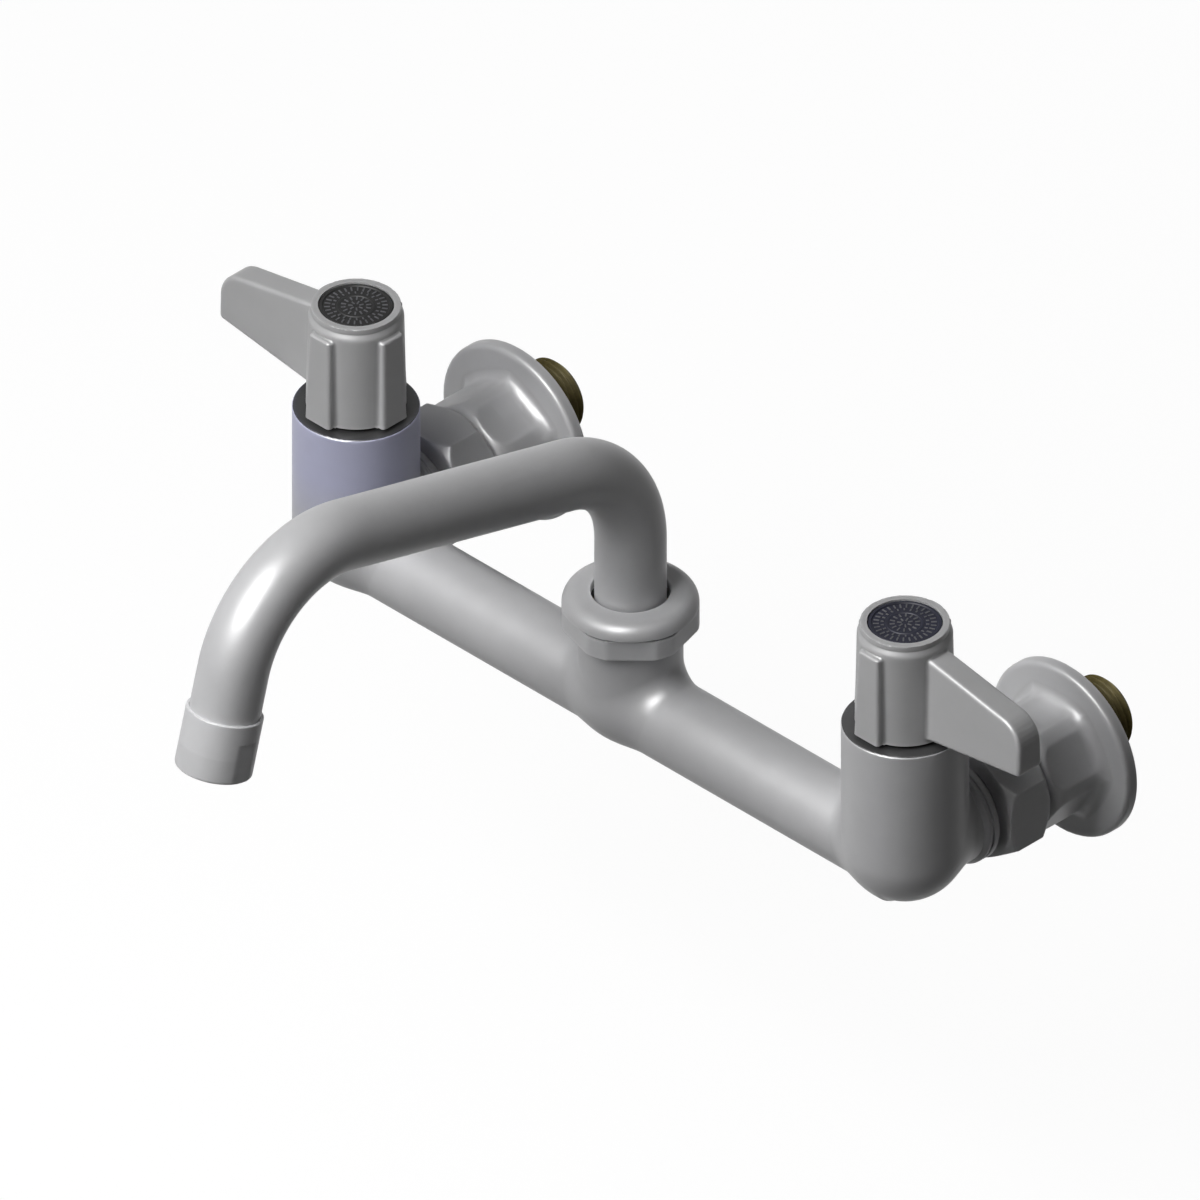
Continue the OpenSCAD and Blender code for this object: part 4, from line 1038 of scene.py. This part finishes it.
# Wall flanges: turned with a six-sided neck, a rounded front and a hollow fillet into
# the rim that closes on the wall. The supply enters off centre, so they set the height.
eccentric = 4.2
flange_r = 25.4
flange_y = 57.0
flange_edge_r = 1.3
flange_back_round = 0.3
neck_y = 38.2
neck_r = 16.5
neck_half = 15.25
neck_round_r = 5.2
neck_fillet_r = 4.0
neck_flat_round = 0.15
neck_end_y = 59
spigot_r, spigot_start, spigot_end = 12.94, 33.2, 45
hollow_r, hollow_y, hollow_wall_r = 22.6, 58.8, 13.27
flange_bore_r, flange_bore_end = 7.6, 48
flange_socket_r, flange_socket_y = 10.73, 47.2
flange_box = (-26.2, 32.4, -26.2), (26.2, 61.4, 26.2)
flange_step = 0.6
for valve, side, turn in (("hot", hot, 0), ("cold", cold, 30)):

    def flange(x, y, z):
        out = np.hypot(x, z)
        neck = meet(out - neck_r, neck_y - y, neck_round_r)
        neck = meet(neck, hexagon(x, z, neck_half, turn), neck_flat_round)
        neck = np.maximum(neck, y - neck_end_y)
        rim = meet(out - flange_r, flange_y - y, flange_edge_r)
        rim = meet(rim, y - wall_y, flange_back_round)
        shape = weld(neck, rim, neck_fillet_r)
        spigot = np.maximum(np.maximum(out - spigot_r, spigot_start - y), y - spigot_end)
        shape = np.minimum(shape, spigot)
        off = np.hypot(x, z - eccentric)
        hollow = np.maximum(np.maximum(out - hollow_r, hollow_y - y), hollow_wall_r - off)
        bore = np.maximum(out - flange_bore_r, y - flange_bore_end)
        socket = np.maximum(off - flange_socket_r, flange_socket_y - y)
        return np.maximum(np.maximum(shape, -hollow), np.maximum(-bore, -socket))

    spots, quads, stand, sharp = contour(flange, flange_box, flange_step)
    plate = faced(valve + "_flange_form", spots + at_valve(side, inlet_rise), quads, stand, sharp)
    placed(valve + "_flange_form", plate, turned_plate,
           "faucet_body", "plated_body", valve + "_wall_flange")

# Supply nipples: half inch pipe, threaded fourteen to the inch, in dull unplated brass.
# One end is sealed in the flange and the other stands out behind the wall plane.
pipe_r = 10.67
pipe_bore_r = 7.9
pipe_start, pipe_end = -13.2, 14.1
pipe_edge = 0.4
thread_pitch = 25.4 / 14
thread_depth = 1.1
thread_slope, thread_crest = 1.25, 0.1
sealed_taper = 0.75
start_chamfer, end_chamfer_depth = 1.6, 0.1
steps, rows = 96, 200
heights = np.linspace(pipe_start, pipe_end, rows)
angle = np.arange(steps) * 2 * math.pi / steps
phase = (heights[:, None] / thread_pitch - angle[None, :] / (2 * math.pi)) % 1.0
groove = np.clip(thread_slope * (1 - np.abs(2 * phase - 1)) - thread_crest, 0, 1)
taper = sealed_taper * np.clip(heights / pipe_start, 0, 1)
end_limit = pipe_r - thread_depth - end_chamfer_depth + (pipe_end - heights)
start_limit = pipe_r - start_chamfer + (heights - pipe_start)
shell = pipe_r - thread_depth * groove - taper[:, None]
shell = np.minimum(shell, np.minimum(end_limit, start_limit)[:, None])
bore_rings = ((pipe_end, pipe_edge), (pipe_end - pipe_edge, 0),
              (pipe_start + pipe_edge, 0), (pipe_start, pipe_edge))
rings = [(h, shell[k]) for k, h in enumerate(heights)]
rings += [(h, np.full(steps, pipe_bore_r + wider)) for h, wider in bore_rings]
spots = np.concatenate([np.stack([r * np.cos(angle), np.full(steps, h), r * np.sin(angle)], axis=1)
                        for h, r in rings])
i, j = np.meshgrid(np.arange(len(rings)), np.arange(steps), indexing="ij")
k, l = (i + 1) % len(rings), (j + 1) % steps
near, far = i * steps, k * steps
quads = np.stack([near + j, far + j, far + l, near + l], axis=-1).reshape(-1, 4)
pipe_brass = finish("dull_thread_brass", plain, metallic=0.1, specular=0.06, relief=0.02,
                    Tone=(0.085, 0.068, 0.02, 1), Drift=0.25, Gloss=0.55, Grain=800.0)
for valve, side in (("hot", hot), ("cold", cold)):
    pipe_spots = spots + (side * centres / 2, 0, 0)
    pipe = faced(valve + "_nipple_form", pipe_spots, quads, crease=60)
    placed(valve + "_nipple_form", pipe, pipe_brass,
           "faucet_body", "dark_brass", valve + "_supply_nipple")
